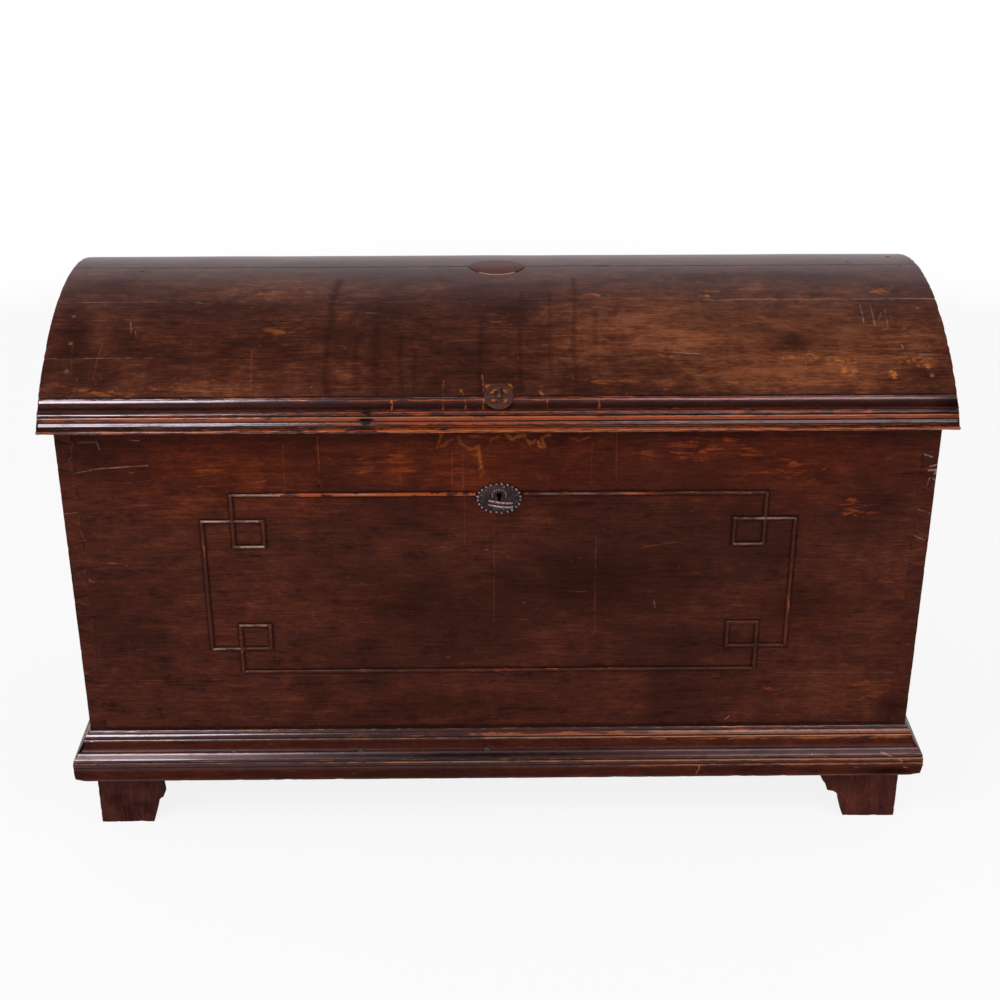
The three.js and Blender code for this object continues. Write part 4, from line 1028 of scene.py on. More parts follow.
def broken_off(mesh_object, tip, slant):
    """Cuts the tip off a bracket along a slanting, ragged line."""
    work = bmesh.new()
    work.from_mesh(mesh_object.data)
    cut = bmesh.ops.bisect_plane(
        work,
        geom=work.verts[:] + work.edges[:] + work.faces[:],
        plane_co=Vector(tip) * MM,
        plane_no=Vector((1, 0, slant)),
        clear_outer=True,
    )
    rim = [item for item in cut["geom_cut"] if isinstance(item, bmesh.types.BMEdge)]
    bmesh.ops.edgeloop_fill(work, edges=rim)
    for vert in {v for edge in rim for v in edge.verts}:
        vert.co.x -= 2.2 * abs(noise.noise(vert.co / MM / 6)) * MM
    work.to_mesh(mesh_object.data)
    work.free()


FOOT_BOARDS = (("face", foot_varnish, (5, 8, 5)), ("side", foot_side_varnish, (8, 5, 5)))
board_number = 10
for end in ("front", "back"):
    for side in ("left", "right"):
        foot = f"foot_{end}_{side}"
        dent = 3.2 if (end, side) == ("front", "left") else 2.0
        for part, varnish, net in FOOT_BOARDS:
            board_number += 1
            worn_copy(
                f"{foot}_{part}", varnish, "chest", 1.2, net, dent, 0.5, board_number
            )
        refinish(f"{foot}_block", sawn_block)
tip_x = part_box("foot_front_left_face")[1].x / MM
broken_off(bpy.data.objects["foot_front_left_face_worn"], (tip_x - LOST_TIP, 0, FOOT_HEIGHT / 2), 0.1)


# Strips: half-round beading 6 mm wide, glued on the front in a rectangle that turns back on itself at
# each corner. It was varnished with the boards, and its crest is rubbed orange in places.
STRIP_RISE = 3.5
STRIP_CREST_Y = FRONT_Y - GAP - STRIP_RISE
STRIP_TONES = ("#2a130c", "#451f14", "#642f1b")
STRIP_PATCHES = [
    ((-170, -275, 578), (290, 30, 14), 2.8),
    ((0, -275, 280), (420, 30, 12), 1.0),
    ((220, -275, 578), (260, 30, 8), 1.1),
    ((-433, -275, 500), (20, 30, 30), 0.8),
    ((-389, -275, 330), (14, 30, 50), 0.9),
    ((430, -275, 400), (20, 30, 60), 0.7),
]
# Painted highlights: pale broken strokes along the crests of the beading
STRIP_PAINTED_GLINTS = [
    (2.4, strength, [(start, STRIP_CREST_Y, z), (end, STRIP_CREST_Y, z)])
    for start, end, z, strength in (
        (-392, -318, 579, 0.9), (-434, -346, 537, 1.1), (-389, -346, 495, 1.0), (-250, -180, 579, 0.5),
        (-389, -350, 362, 0.6), (-432, -392, 321, 0.6), (346, 388, 537, 0.6), (392, 432, 537, 0.5),
        (346, 386, 495, 0.5), (60, 200, 579, 0.35),
    )
]
strip_varnish = old_varnish(
    "shellac_on_beading",
    tones=STRIP_TONES,
    rubbed="#a34a1c",
    rub=0.01,
    edges=0.0,
    gloss=0.34,
    patches=STRIP_PATCHES,
    scuffs_and_glints=STRIP_PAINTED_GLINTS,
    scuff_and_glint_tone="#a08478",
)
upright_strip_varnish = old_varnish(
    "shellac_on_upright_beading",
    grain="Z",
    tones=STRIP_TONES,
    rubbed="#a34a1c",
    rub=0.01,
    edges=0.0,
    gloss=0.34,
    patches=STRIP_PATCHES,
)
for index, node in enumerate(
    ("strip_top_left", "strip_top_right", "strip_bottom", "knot_top_left", "knot_top_right",
     "knot_bottom_left", "knot_bottom_right", "strip_left", "strip_right")
):
    varnish = upright_strip_varnish if node in ("strip_left", "strip_right") else strip_varnish
    strip = worn_copy(
        node, varnish, "chest", 0.0, (9, 0, 9), 0.5, 0.5, 20 + index, 50
    ).data
    rises = [(FRONT_Y - GAP - vert.co.y / MM) / STRIP_RISE for vert in strip.vertices]
    crest = strip.attributes.new("round", "FLOAT", "POINT")
    crest.data.foreach_set("value", [max(0.0, min(0.25, rise - 0.65)) for rise in rises])
    # Painted shadow: the beading is darkened towards its foot on the board
    darkening = strip.attributes.new("darkening", "FLOAT", "POINT")
    darkening.data.foreach_set("value", [max(0.0, 1 - 1.6 * rise) for rise in rises])


# Escutcheon: an oval plate of thin cast bronze, darkened almost black. A rim of beads stands in twos
# round its edge, a beaded arch covers the keyhole, and two ridged swags hang below it.
def dark_bronze_finish(name):
    made, tree, place = new_finish(name)
    cast = pattern(tree, place, (2.2, 2.2, 2.2), 4.0, 0.6)
    cloudy = pattern(tree, place, (14.0, 14.0, 14.0), 4.0, 0.6)
    rubbed = add(tree, "ShaderNodeAttribute", attribute_name="crown_share", out="Fac")
    rubbed = add(tree, "ShaderNodeMath", [rubbed, cast], operation="MULTIPLY")
    uneven = pattern(tree, place, (5.0, 5.0, 5.0), 2.0, 0.5)
    rubbed = add(tree, "ShaderNodeMath", [rubbed, step(tree, uneven, 0.22, 0.5)], operation="MULTIPLY")
    colour = add(
        tree,
        "ShaderNodeMix",
        [step(tree, cloudy, 0.35, 0.65), linear("#201513"), linear("#3a2824")],
        data_type="RGBA",
    )
    # Crowns of beads and swag ridges turn pale lilac: partly rubbed bronze, partly a painted highlight
    colour = add(
        tree,
        "ShaderNodeMix",
        [step(tree, rubbed, 0.16, 0.42), colour, linear("#7f6b70")],
        data_type="RGBA",
    )
    dull = add(tree, "ShaderNodeMath", [cast, 0.25, 0.16], operation="MULTIPLY_ADD")
    relief = add(tree, "ShaderNodeBump", {"Strength": 0.6, "Distance": 0.2 * MM, "Height": cast})
    shader = add(
        tree,
        "ShaderNodeBsdfPrincipled",
        {"Base Color": colour, "Metallic": 0.7, "Roughness": dull, "Normal": relief},
    )
    add(tree, "ShaderNodeOutputMaterial", {"Surface": shader})
    return made


bronze = dark_bronze_finish("darkened_cast_bronze")
ESCUTCHEON_LENGTH = 67
ESCUTCHEON_HEIGHT = 51
ESCUTCHEON_Z = RIM_HEIGHT - 120
KEY_Z = RIM_HEIGHT - 115
PLATE = 1.6
PLATE_Y = FRONT_Y - GAP - PLATE
KEYHOLE_RADIUS = 4.5
KEYHOLE_SLOT = 5
KEYHOLE_LENGTH = 12


def dome_bead(work, centre, radius, squash=0.8, rise=(0, -1, 0), sides=14, rings=5, dimple=0.0):
    """A low round bead that stands on a face, with or without a dimple in its top. rise is the way
    out of the face."""
    crown_share = work.verts.layers.float.get("crown_share") or work.verts.layers.float.new("crown_share")
    up = Vector(rise).normalized()
    across = up.orthogonal().normalized()
    other = up.cross(across)
    before = None
    for ring in range(rings + 1):
        lean = math.pi / 2 * ring / rings
        crown = math.sin(lean) - dimple * max(0.0, 2 * ring / rings - 1)
        height = up * crown * radius * squash
        spread = math.cos(lean) * radius
        if ring == rings:
            top = work.verts.new((Vector(centre) + height) * MM)
            top[crown_share] = 1.0
            for i in range(sides):
                work.faces.new((before[i], before[(i + 1) % sides], top))
            break
        verts = []
        for i in range(sides):
            turn = 2 * math.pi * i / sides
            side = across * math.cos(turn) * spread + other * math.sin(turn) * spread
            vert = work.verts.new((Vector(centre) + side + height) * MM)
            vert[crown_share] = ring / rings
            verts.append(vert)
        if before:
            for i in range(sides):
                k = (i + 1) % sides
                work.faces.new((before[i], before[k], verts[k], verts[i]))
        else:
            work.faces.new(list(reversed(verts)))
        before = verts


RIDGES = 2


def ribbon(work, path, half_width, height, face_y):
    """A ridged bar that lies on the plate, along a path of X and Z."""
    crown_share = work.verts.layers.float.get("crown_share") or work.verts.layers.float.new("crown_share")
    steps = 12
    before = None
    for index, (x, z) in enumerate(path):
        ahead = Vector(path[min(index + 1, len(path) - 1)]) - Vector(path[max(index - 1, 0)])
        across = Vector((-ahead.y, ahead.x)).normalized()
        taper = 1 - 0.45 * abs(2 * index / (len(path) - 1) - 1) ** 3
        ring = []
        for k in range(steps + 1):
            way = 2 * k / steps - 1
            rise = math.sqrt(max(0.0, 1 - way * way)) * height
            rise *= 0.72 + 0.28 * abs(math.cos(RIDGES * math.pi * way / 2))
            out = across * way * half_width * taper
            vert = work.verts.new(Vector((x + out.x, face_y + 0.2 - rise * taper, z + out.y)) * MM)
            vert[crown_share] = rise / height
            ring.append(vert)
        if before:
            for k in range(steps):
                work.faces.new((before[k], before[k + 1], ring[k + 1], ring[k]))
            work.faces.new((before[steps], before[0], ring[0], ring[steps]))
        before = ring
        if index in (0, len(path) - 1):
            work.faces.new(ring)


def oval_ring(half_wide, half_high, count):
    turns = [2 * math.pi * i / count for i in range(count)]
    return [(half_wide * math.cos(t), half_high * math.sin(t)) for t in turns]


def keyhole_ring(count=28):
    """The keyhole's outline in X and Z, from its right-hand slot corner round the eye."""
    half = KEYHOLE_SLOT / 2
    start = math.asin(half / KEYHOLE_RADIUS)
    ring = []
    for i in range(count):
        turn = -math.pi / 2 + start + (2 * math.pi - 2 * start) * i / (count - 1)
        ring.append((KEYHOLE_RADIUS * math.cos(turn), KEY_Z + KEYHOLE_RADIUS * math.sin(turn)))
    ring += [(-half, KEY_Z - KEYHOLE_LENGTH), (half, KEY_Z - KEYHOLE_LENGTH)]
    return ring


def pierced_plate(work, outer, holes, to_place, thick, ease=0.35):
    """A flat plate with openings. to_place turns (u, v, height) into a place in millimetres."""
    drawing = bpy.data.curves.new("drawing", "CURVE")
    drawing.dimensions = "2D"
    drawing.fill_mode = "BOTH"
    drawing.extrude = (thick / 2 - ease) * MM
    drawing.bevel_depth = ease * MM
    drawing.bevel_resolution = 1
    for ring in (outer, *holes):
        spline = drawing.splines.new("POLY")
        spline.points.add(len(ring) - 1)
        for point, (u, v) in zip(spline.points, ring):
            point.co = (u * MM, v * MM, 0, 1)
        spline.use_cyclic_u = True
    shape = bpy.data.objects.new("drawing", drawing)
    bpy.context.scene.collection.objects.link(shape)
    bpy.context.view_layer.update()
    mesh = bpy.data.meshes.new_from_object(shape.evaluated_get(bpy.context.evaluated_depsgraph_get()))
    bpy.data.objects.remove(shape)
    bpy.data.curves.remove(drawing)
    before = len(work.verts)
    work.from_mesh(mesh)
    bpy.data.meshes.remove(mesh)
    work.verts.ensure_lookup_table()
    added = work.verts[before:]
    for vert in added:
        u, v, w = vert.co / MM
        vert.co = Vector(to_place(u, v, w + thick / 2)) * MM
    bmesh.ops.remove_doubles(work, verts=added, dist=0.005 * MM)


RIM_BEAD_INSET = 2.3
INNER_BEAD_INSET = 4.6
BEAD_SINK = 0.2
ARCH_HALF_WIDTH = 10
ARCH_RISE = 9.6
SWAG_DROPS = (5.5, 12.2)
SWAG_HALF_LENGTH = 18
random.seed(4)
work = bmesh.new()
work.verts.layers.float.new("crown_share")
half_wide, half_high = ESCUTCHEON_LENGTH / 2 - RIM_BEAD_INSET, ESCUTCHEON_HEIGHT / 2 - RIM_BEAD_INSET
pierced_plate(
    work,
    [(u, v + ESCUTCHEON_Z) for u, v in oval_ring(half_wide - 0.6, half_high - 0.6, 72)],
    [keyhole_ring()],
    lambda u, v, w: (u, FRONT_Y - GAP - w, v),
    PLATE,
)
BEAD_PAIRS = 12
for i in range(BEAD_PAIRS):
    for k in (-1, 1):
        turn = math.pi / 2 + 2 * math.pi * (i + k * 0.235) / BEAD_PAIRS
        radius = 2.55 + random.uniform(-0.3, 0.15)
        dome_bead(
            work,
            (half_wide * math.cos(turn), PLATE_Y + BEAD_SINK, ESCUTCHEON_Z + half_high * math.sin(turn)),
            radius,
            0.9,
            dimple=0.6,
        )
    turn = math.pi / 2 + 2 * math.pi * (i + 0.5) / BEAD_PAIRS
    dome_bead(
        work,
        (
            (half_wide - INNER_BEAD_INSET) * math.cos(turn),
            PLATE_Y + BEAD_SINK,
            ESCUTCHEON_Z + (half_high - INNER_BEAD_INSET) * math.sin(turn),
        ),
        1.2,
    )
ARCH_BEADS = 11
for i in range(ARCH_BEADS):
    turn = math.pi * (i / (ARCH_BEADS - 1) * 1.16 - 0.08)
    centre = (ARCH_HALF_WIDTH * math.cos(turn), PLATE_Y + BEAD_SINK, KEY_Z + ARCH_RISE * math.sin(turn))
    dome_bead(work, centre, 1.6, 1.1)
for drop in SWAG_DROPS:
    path = []
    for i in range(15):
        share = 2 * i / 14 - 1
        sag = 2.2 * share + 1.6 * (1 - share * share)
        path.append((2 + share * SWAG_HALF_LENGTH, ESCUTCHEON_Z - drop - sag))
    if drop == SWAG_DROPS[0]:
        path = [(x, z) for x, z in path if abs(x) > KEYHOLE_SLOT / 2 + 1.2 or z < KEY_Z - KEYHOLE_LENGTH]
    ribbon(work, path, 2.5, 2.0, PLATE_Y)
bmesh.ops.recalc_face_normals(work, faces=work.faces)
escutcheon = finish_mesh("escutcheon_cast", work, bronze, "chest", 40)
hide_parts("escutcheon")
for side in ("left", "right"):
    worn_copy(f"escutcheon_pin_{side}", bronze, "chest", 0.3, smooth=30)


# Lock: a sheet-iron box held inside the front by four nails, with a sliding bolt, a leaf spring and
# the keeper on the lid. Its sheet is smoother than a forged nail, blue-black, with rust in patches.
lock_iron = forged_iron("blackened_sheet_iron", "#3b3a3e", "#55372a", 0.85, 0.36)
worn_copy("lock_case", lock_iron, "chest", 0.4, smooth=20)
worn_copy("lock_spring", lock_iron, "chest", 0.15, smooth=20)
worn_copy("lock_bolt", lock_iron, "bolt", 0.4, smooth=20)
worn_copy("lock_keeper", lock_iron, "lid", 0.5, smooth=20)
LOCK_SHEET = 2
LOCK_NAIL_RADIUS = 3.6
case_low, case_high = [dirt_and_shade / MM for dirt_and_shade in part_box("lock_case")]
lock_nails = bmesh.new()
for x in (case_low.x + 5, case_high.x - 5):
    for z in (case_low.z + 6, case_high.z - 9):
        dome_bead(lock_nails, (x, case_low.y + LOCK_SHEET, z), LOCK_NAIL_RADIUS, 0.5, (0, 1, 0))
bmesh.ops.recalc_face_normals(lock_nails, faces=lock_nails.faces)
finish_mesh("lock_nails", lock_nails, nail_iron, "chest", 50)


# Hinges: forged strap hinges, a leaf down the back and a long round-ended strap inside the lid. Each
# is held by hand-made nails with low domed heads.
DOME_EDGE_HEIGHT = 37.3
DOME_EDGE_INSET = 6.75
LID_RISE = 136
STAVE_THICKNESS = 20
DOME_EDGE_Y = HALF_DEPTH - DOME_EDGE_INSET
DOME_EDGE_Z = RIM_HEIGHT + DOME_EDGE_HEIGHT
SAGITTA = LID_RISE - DOME_EDGE_HEIGHT
DOME_RADIUS = (DOME_EDGE_Y ** 2 + SAGITTA ** 2) / (2 * SAGITTA)
DOME_CENTRE_Z = RIM_HEIGHT + LID_RISE - DOME_RADIUS
DOME_HALF_ANGLE = math.asin(DOME_EDGE_Y / DOME_RADIUS)
HINGE_X = 433
HINGE_IRON = 3
NAIL_HEAD_RADIUS = 4.5
LEAF_NAILS = ((-12, 620), (12, 620), (-12, 660), (12, 660))
STRAP_NAIL_ANGLES = (30, 20, 10, 0)


def on_dome(x, degrees, radius=DOME_RADIUS):
    """A place on the dome, at an angle from straight up towards the back."""
    turn = math.radians(degrees)
    return Vector((x, MIDDLE_Y + radius * math.sin(turn), DOME_CENTRE_Z + radius * math.cos(turn)))


def out_of_dome(degrees):
    turn = math.radians(degrees)
    return Vector((0, math.sin(turn), math.cos(turn)))


hinge_iron = forged_iron("forged_strap_iron", "#302c2e", "#4b3023", 0.7, 0.5)
leaf_nails = bmesh.new()
strap_nails = bmesh.new()
for side, sign in (("left", -1), ("right", 1)):
    worn_copy(f"hinge_leaf_{side}", hinge_iron, "chest", 0.5, (6, 0, 6), 0.5, 0.3, smooth=24)
    worn_copy(f"hinge_strap_{side}", hinge_iron, "lid", 0.5, (6, 8, 0), 0.5, 0.3, smooth=24)
    worn_copy(f"hinge_pin_{side}", hinge_iron, "chest", 0.3, smooth=30)
    for x, z in LEAF_NAILS:
        centre = (sign * HINGE_X + x, BACK_Y + GAP + HINGE_IRON, z)
        dome_bead(leaf_nails, centre, NAIL_HEAD_RADIUS, 0.5, (0, 1, 0))
    for degrees in STRAP_NAIL_ANGLES:
        for x in (-11, 11):
            centre = on_dome(sign * HINGE_X + x, degrees, DOME_RADIUS - STAVE_THICKNESS - GAP - HINGE_IRON)
            dome_bead(strap_nails, centre, NAIL_HEAD_RADIUS, 0.5, -out_of_dome(degrees))
for name, work, body in (("leaf_nails", leaf_nails, "chest"), ("strap_nails", strap_nails, "lid")):
    bmesh.ops.recalc_face_normals(work, faces=work.faces)
    finish_mesh(name, work, nail_iron, body, 50)


# Lid rails: the front rail is moulded from a thick length of softwood and laps a little over the
# board below. The back rail is plain. Both carry the bevel for the dome's outermost staves.
LID_BOTTOM = RIM_HEIGHT + GAP
LID_HALF_LENGTH = HALF_LENGTH + 17
INNER_HALF_DEPTH = HALF_DEPTH - BOARD
RAIL_DROP = DOME_EDGE_Z - LID_BOTTOM
FRONT_REACH = 32 + DOME_EDGE_INSET
LIP = 3
FRONT_MOULDING_SHARES = [
    (0, 0),
    (0.022, 0.034),
    (0.045, 0.022),
    (0.075, 0.028, 0.095, 0.06),
    (0.135, 0.095, 0.165, 0.155),
    (0.17, 0.18),
    (0.19, 0.385, 0.44, 0.4),
    (0.445, 0.425),
    (0.425, 0.435),
    (0.475, 0.44),
    (0.5, 0.455),
    (0.56, 0.48, 0.558, 0.555),
    (0.53, 0.572),
    (0.54, 0.595),
    (0.58, 0.608),
    (0.59, 0.782),
    (0.602, 0.786),
    (0.662, 0.859),
    (0.697, 0.894, 0.702, 0.926),
    (0.69, 0.934),
    (0.78, 0.942),
    (0.79, 0.958),
    (0.765, 0.968),
    (0.93, 0.978),
    (1, 0.99),
    (1, 1 + LIP / RAIL_DROP),
    (0.213, 1 + LIP / RAIL_DROP),
    (0.213, 1),
]

LID_MOULDING_PATCHES = [
    ((100, -288, 702.3), (1500, 60, 5.6), 2.8),
    ((200, -304, 688.0), (1200, 60, 1.4), 1.6),
    ((100, -303.5, 692), (1100, 60, 1.2), 1.9),
    ((150, -296, 693.2), (1000, 60, 1.8), 2.2),
    ((40, -283.5, 712), (1000, 60, 2), 2.5),
    ((230, -269, 724.2), (900, 60, 1.6), 2.6),
    ((-40, -294, 697.5), (560, 60, 4), 2.0),
]
LID_MOULDING_LINES = [
    (2.6, strength, [(x, -270.6, 724.5), (x, -271.8, 721.6), (x, -274.8, 715.8), (x, -282.3, 713.5)])
    for x, strength in ((-152, 1.0), (-79, 1.1), (-48, 1.0), (-22, 1.0), (141, 0.7), (68, 0.7))
]
LID_MOULDING_WORN = [((side * 11, -272, 722), (10, 14, 8), 2.2) for side in (-1, 1)]
rail_varnish = old_varnish(
    "rubbed_shellac_on_lid_moulding",
    tones=("#28110e", "#3d1812", "#552617"),
    rubbed="#98441a",
    bare="#a65626",
    edges=0.34,
    gloss=0.28,
    level=0.04,
    stray=5,
    patches=LID_MOULDING_PATCHES,
    worn_spots=LID_MOULDING_WORN,
    worn_lines=LID_MOULDING_LINES,
    stain_and_shade_spots=[
        ((-630, -304, 688), (80, 60, 8), 1.5),
        ((640, -275, 716), (50, 60, 28), 1.2),
        ((-188, -291, 705), (18, 60, 22), 2.0),
    ],
    # Dirt and painted shade: a dark line along the cove under the top bead
    stain_and_shade_lines=[(8.5, 0.75, [(-660, -275, 716.5), (660, -275, 716.5)])],
)


def rail_path():
    """The front rail's section in Y and Z, about the chest's own middle."""
    bevel_z = DOME_CENTRE_Z + INNER_HALF_DEPTH / math.tan(DOME_HALF_ANGLE)
    outer = outline_of(
        FRONT_MOULDING_SHARES,
        lambda out, down: (-DOME_EDGE_Y - out * FRONT_REACH, DOME_EDGE_Z - down * RAIL_DROP),
    )
    inner = [Vector((-INNER_HALF_DEPTH, z)) for z in (LID_BOTTOM, bevel_z)]
    return spaced(eased(eased(inner + outer, 0.5), 0.22), 1.5)


def lid_run(point):
    return (
        (-LID_HALF_LENGTH, MIDDLE_Y + point.x, point.y),
        (LID_HALF_LENGTH, MIDDLE_Y + point.x, point.y),
    )


front_rail = moulded(
    "lid_front_rail_worn",
    rail_path(),
    lid_run,
    rail_varnish,
    "lid",
    pitch=5,
    board=31,
    ragged=1.4,
    chips=[((-214, -304, 700), 11, 2.6), ((-82, -301, 708), 7, 1.4), ((470, -303, 699), 8, 1.6)],
)
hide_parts("lid_front_rail")
LID_TONES = ("#2b130c", "#472014", "#7e482d")
lid_back_varnish = old_varnish("shellac_on_lid_back_rail", tones=LID_TONES, edges=0.2)
worn_copy("lid_back_rail", lid_back_varnish, "lid", 0.8, (14, 0, 0), 1.5, 0.3, 32, 30)


# Dome: two gables carry six staves, planed to the curve, glued edge to edge and pegged. The top is
# worn by things set on it: runs and rings of spilt liquid, scratches, and varnish gone from the crests.
def way(degrees):
    """Millimetres round the dome from its crown."""
    return math.radians(degrees) * DOME_RADIUS


def on_lid(points):
    return [(x, way(degrees), DOME_RADIUS) for x, degrees in points]


def lid_spot(x, degrees, reach_x, reach_way, strength):
    return ((x, way(degrees), DOME_RADIUS), (reach_x, reach_way, 12), strength)


LID_GLOW = [
    lid_spot(360, -24, 440, 150, 1.5),
    lid_spot(430, -34, 340, 80, 1.6),
    lid_spot(-330, -11, 170, 60, 0.6),
    lid_spot(150, -34, 160, 60, 0.7),
    lid_spot(-420, -36, 200, 50, 0.35),
]
LID_PATCHES = [
    lid_spot(-340, -11.5, 120, 24, 0.9),
    lid_spot(-310, -23.5, 90, 20, 1.1),
    lid_spot(0, -22, 60, 24, 0.9),
    lid_spot(110, -26, 90, 30, 0.8),
    lid_spot(145, -36, 100, 26, 1.0),
    lid_spot(310, -35.5, 120, 24, 0.9),
    lid_spot(310, -11, 34, 18, 1.1),
    lid_spot(571, -11.5, 36, 16, 1.3),
    lid_spot(447, -32, 26, 18, 1.3),
    lid_spot(492, -33, 44, 18, 1.1),
    lid_spot(564, -35.5, 18, 18, 1.1),
    lid_spot(590, -32, 70, 10, 1.1),
    lid_spot(420, -23, 200, 60, 0.6),
    lid_spot(-540, -38.6, 220, 16, 1.0),
    lid_spot(-400, -36, 120, 24, 0.4),
]
LID_RUNS = [
    lid_spot(28, -19, 56, 46, 0.75),
    lid_spot(-140, -19, 100, 40, 0.6),
    lid_spot(-610, -25, 44, 110, 0.75),
    lid_spot(-370, -28, 240, 80, 0.5),
    lid_spot(-430, -17.5, 250, 36, 0.75),
    lid_spot(-570, -9, 100, 60, 0.6),
    lid_spot(-480, -12, 150, 26, 0.35),
    lid_spot(420, -28, 50, 26, 0.7),
    lid_spot(610, -37, 40, 30, 0.8),
    lid_spot(350, -5, 300, 30, 0.4),
]
LID_RUN_LINES = [
    (11, 0.6, on_lid([(-237, -6.6), (-242, -12.7), (-246, -16.1), (-241, -19.8), (-246, -27)])),
    (10, 0.6, on_lid([(-246, -27), (-247, -37.0), (-241, -40)])),
    (9, 0.45, on_lid([(-202, -25.3), (-206, -31.1), (-202, -38.5)])),
    (13, 0.5, on_lid([(-174, -15.6), (-178, -28), (-174, -39.2)])),
    (7, 0.45, on_lid([(-139, -25.4), (-143, -31.1), (-137, -38.9)])),
    (5, 0.4, on_lid([(-120, -30), (-121, -39.2)])),
    (8, 0.45, on_lid([(-23, -20), (-27, -31.2), (-26, -39.3)])),
    (5, 0.42, on_lid([(36, -12), (31, -25.6), (31, -38.7)])),
    (6, 0.4, on_lid([(78, -12.0), (74, -25.6), (74, -35)])),
    (7, 0.45, on_lid([(115, -6), (113, -19.1), (107, -28.2), (110, -38)])),
    (6, 0.3, on_lid([(144, -18.1), (137, -31.4)])),
    (2.2, 0.9, on_lid([(-650, 1.6), (-300, 1.2), (40, 1.9), (330, 1.4), (650, 1.8)])),
]
LID_WORN_LINES = [
    (3.0, 0.8, on_lid([(-78, -36.8), (-80, -40)])),
    (4.2, 0.75, on_lid([(-54, -38.6), (-50, -40)])),
    (2.6, 0.7, on_lid([(-23, -35.5), (-22, -40)])),
    (4.0, 0.7, on_lid([(58, -39.2), (62, -40)])),
    (2.4, 0.6, on_lid([(180, -37.5), (180, -40)])),
]
LID_WORN = [
    lid_spot(-12, -38.4, 14, 14, 2.6),
    lid_spot(12, -38.4, 14, 14, 2.6),
    lid_spot(571, -11.5, 40, 20, 0.95),
    lid_spot(310, -13.5, 30, 12, 0.8),
    lid_spot(447, -31.8, 26, 26, 1.0),
    lid_spot(425, -31.4, 60, 12, 0.7),
    lid_spot(492, -32.6, 50, 20, 0.9),
    lid_spot(500, -34.5, 26, 24, 0.9),
    lid_spot(564, -35.8, 16, 26, 0.9),
    lid_spot(595, -32.2, 60, 16, 0.85),
    lid_spot(610, -33.8, 24, 12, 0.8),
    lid_spot(400, -37, 160, 16, 0.5),
    lid_spot(240, -31, 60, 14, 0.55),
    lid_spot(150, -13, 50, 12, 0.55),
]
LID_SCRATCHES = [
    (1.8, 0.9, on_lid([(-354, -29.4), (-352, -34.0), (-351, -39.6)])),
    (1.8, 0.7, on_lid([(-569, -27.7), (-573, -30.8), (-575, -36.0)])),
    (1.6, 0.5, on_lid([(-612, -26.7), (-608, -34.6)])),
    (1.8, 0.7, on_lid([(-80, -27.3), (-43, -26.8), (-15, -27.0)])),
    (1.8, 0.6, on_lid([(-339, -23.4), (-307, -22.6), (-279, -23.5)])),
    (1.7, 0.8, on_lid([(359, -34.6), (358, -38.9)])),
    (2.0, 0.7, on_lid([(606, -31.6), (651, -31.8)])),
]
LID_SCUFFS = [
    (1.5, 0.7, on_lid([(-534, -21.4), (-530, -25.0)])),
    (1.4, 0.7, on_lid([(-525, -24.0), (-522, -25.7)])),
    (1.4, 0.6, on_lid([(-192, -18.8), (-173, -19.0)])),
    (1.8, 0.75, on_lid([(535, -16.9), (534, -22.4)])),
    (1.8, 0.75, on_lid([(550, -16.9), (549, -23.4)])),
    (2.4, 0.7, on_lid([(563, -19.5), (557, -21.4)])),
    (1.5, 0.6, on_lid([(569, -18.5), (568, -23.8)])),
    (1.8, 1.0, on_lid([(582, -28.6), (583, -29.5)])),
    (1.6, 0.6, on_lid([(231, -29.9), (289, -30.6)])),
    (1.6, 0.55, on_lid([(-646, -14.9), (-454, -14.9)])),
    (1.4, 0.3, on_lid([(-454, -14.9), (-60, -14.9)])),
    (1.9, 1.0, on_lid([(305, -14.9), (652, -14.9)])),
    (1.5, 0.6, on_lid([(-646, -31.0), (-495, -31.0)])),
    (1.6, 0.9, on_lid([(606, -31.0), (651, -31.0)])),
]
dome_varnish = old_varnish(
    "shellac_on_coopered_dome",
    tones=LID_TONES,
    rubbed="#8a4a22",
    bare="#b4682e",
    gloss=0.42,
    edges=0.35,
    glow=LID_GLOW,
    patches=LID_PATCHES,
    worn_spots=LID_WORN,
    worn_lines=LID_WORN_LINES,
    stain_and_shade_spots=LID_RUNS,
    stain_and_shade_lines=LID_RUN_LINES,
    scratches=LID_SCRATCHES,
    scuffs_and_glints=LID_SCUFFS,
    scuff_and_glint_tone="#94726a",
    level=0.04,
    sheen=5.6,
    haze=0.08,
    dome=True,
)
gable_varnish = old_varnish("shellac_on_gables", grain="Y", tones=LID_TONES, edges=0.3)
for index, side in enumerate(("left", "right")):
    worn_copy(f"lid_gable_{side}", gable_varnish, "lid", 0.5, (0, 14, 9), 1.0, 0.3, 33 + index)

SEAM_SHARES = [0.112, 0.314, 0.515, 0.716, 0.917]
INNER_RADIUS = DOME_RADIUS - STAVE_THICKNESS
HALF_GAP = GAP / 2 / INNER_RADIUS
edge_angle = DOME_HALF_ANGLE - HALF_GAP
seams = [-edge_angle, *[(2 * share - 1) * DOME_HALF_ANGLE for share in SEAM_SHARES], edge_angle]


def arc_path(radius, start, end, pitch):
    count = max(2, math.ceil(abs(end - start) * radius / pitch))
    turns = [start + (end - start) * i / count for i in range(count + 1)]
    return [Vector((radius * math.sin(t), DOME_CENTRE_Z + radius * math.cos(t))) for t in turns]


PATCH_LENGTH = 87
PATCH_WIDTH = 74
PATCH_PROUD = 1.2
PATCH_DEPTH = 6
LENS_STEPS = 26
LENS_EASING = ((0.9, 0.0), (0.25, 0.4), (0.0, 1.6))
RECESS_SPARE = 0.6
RECESS_OVERRUN = 8
ridge_angle = (2 * SEAM_SHARES[2] - 1) * DOME_HALF_ANGLE
ridge_y = MIDDLE_Y + DOME_RADIUS * math.sin(ridge_angle)


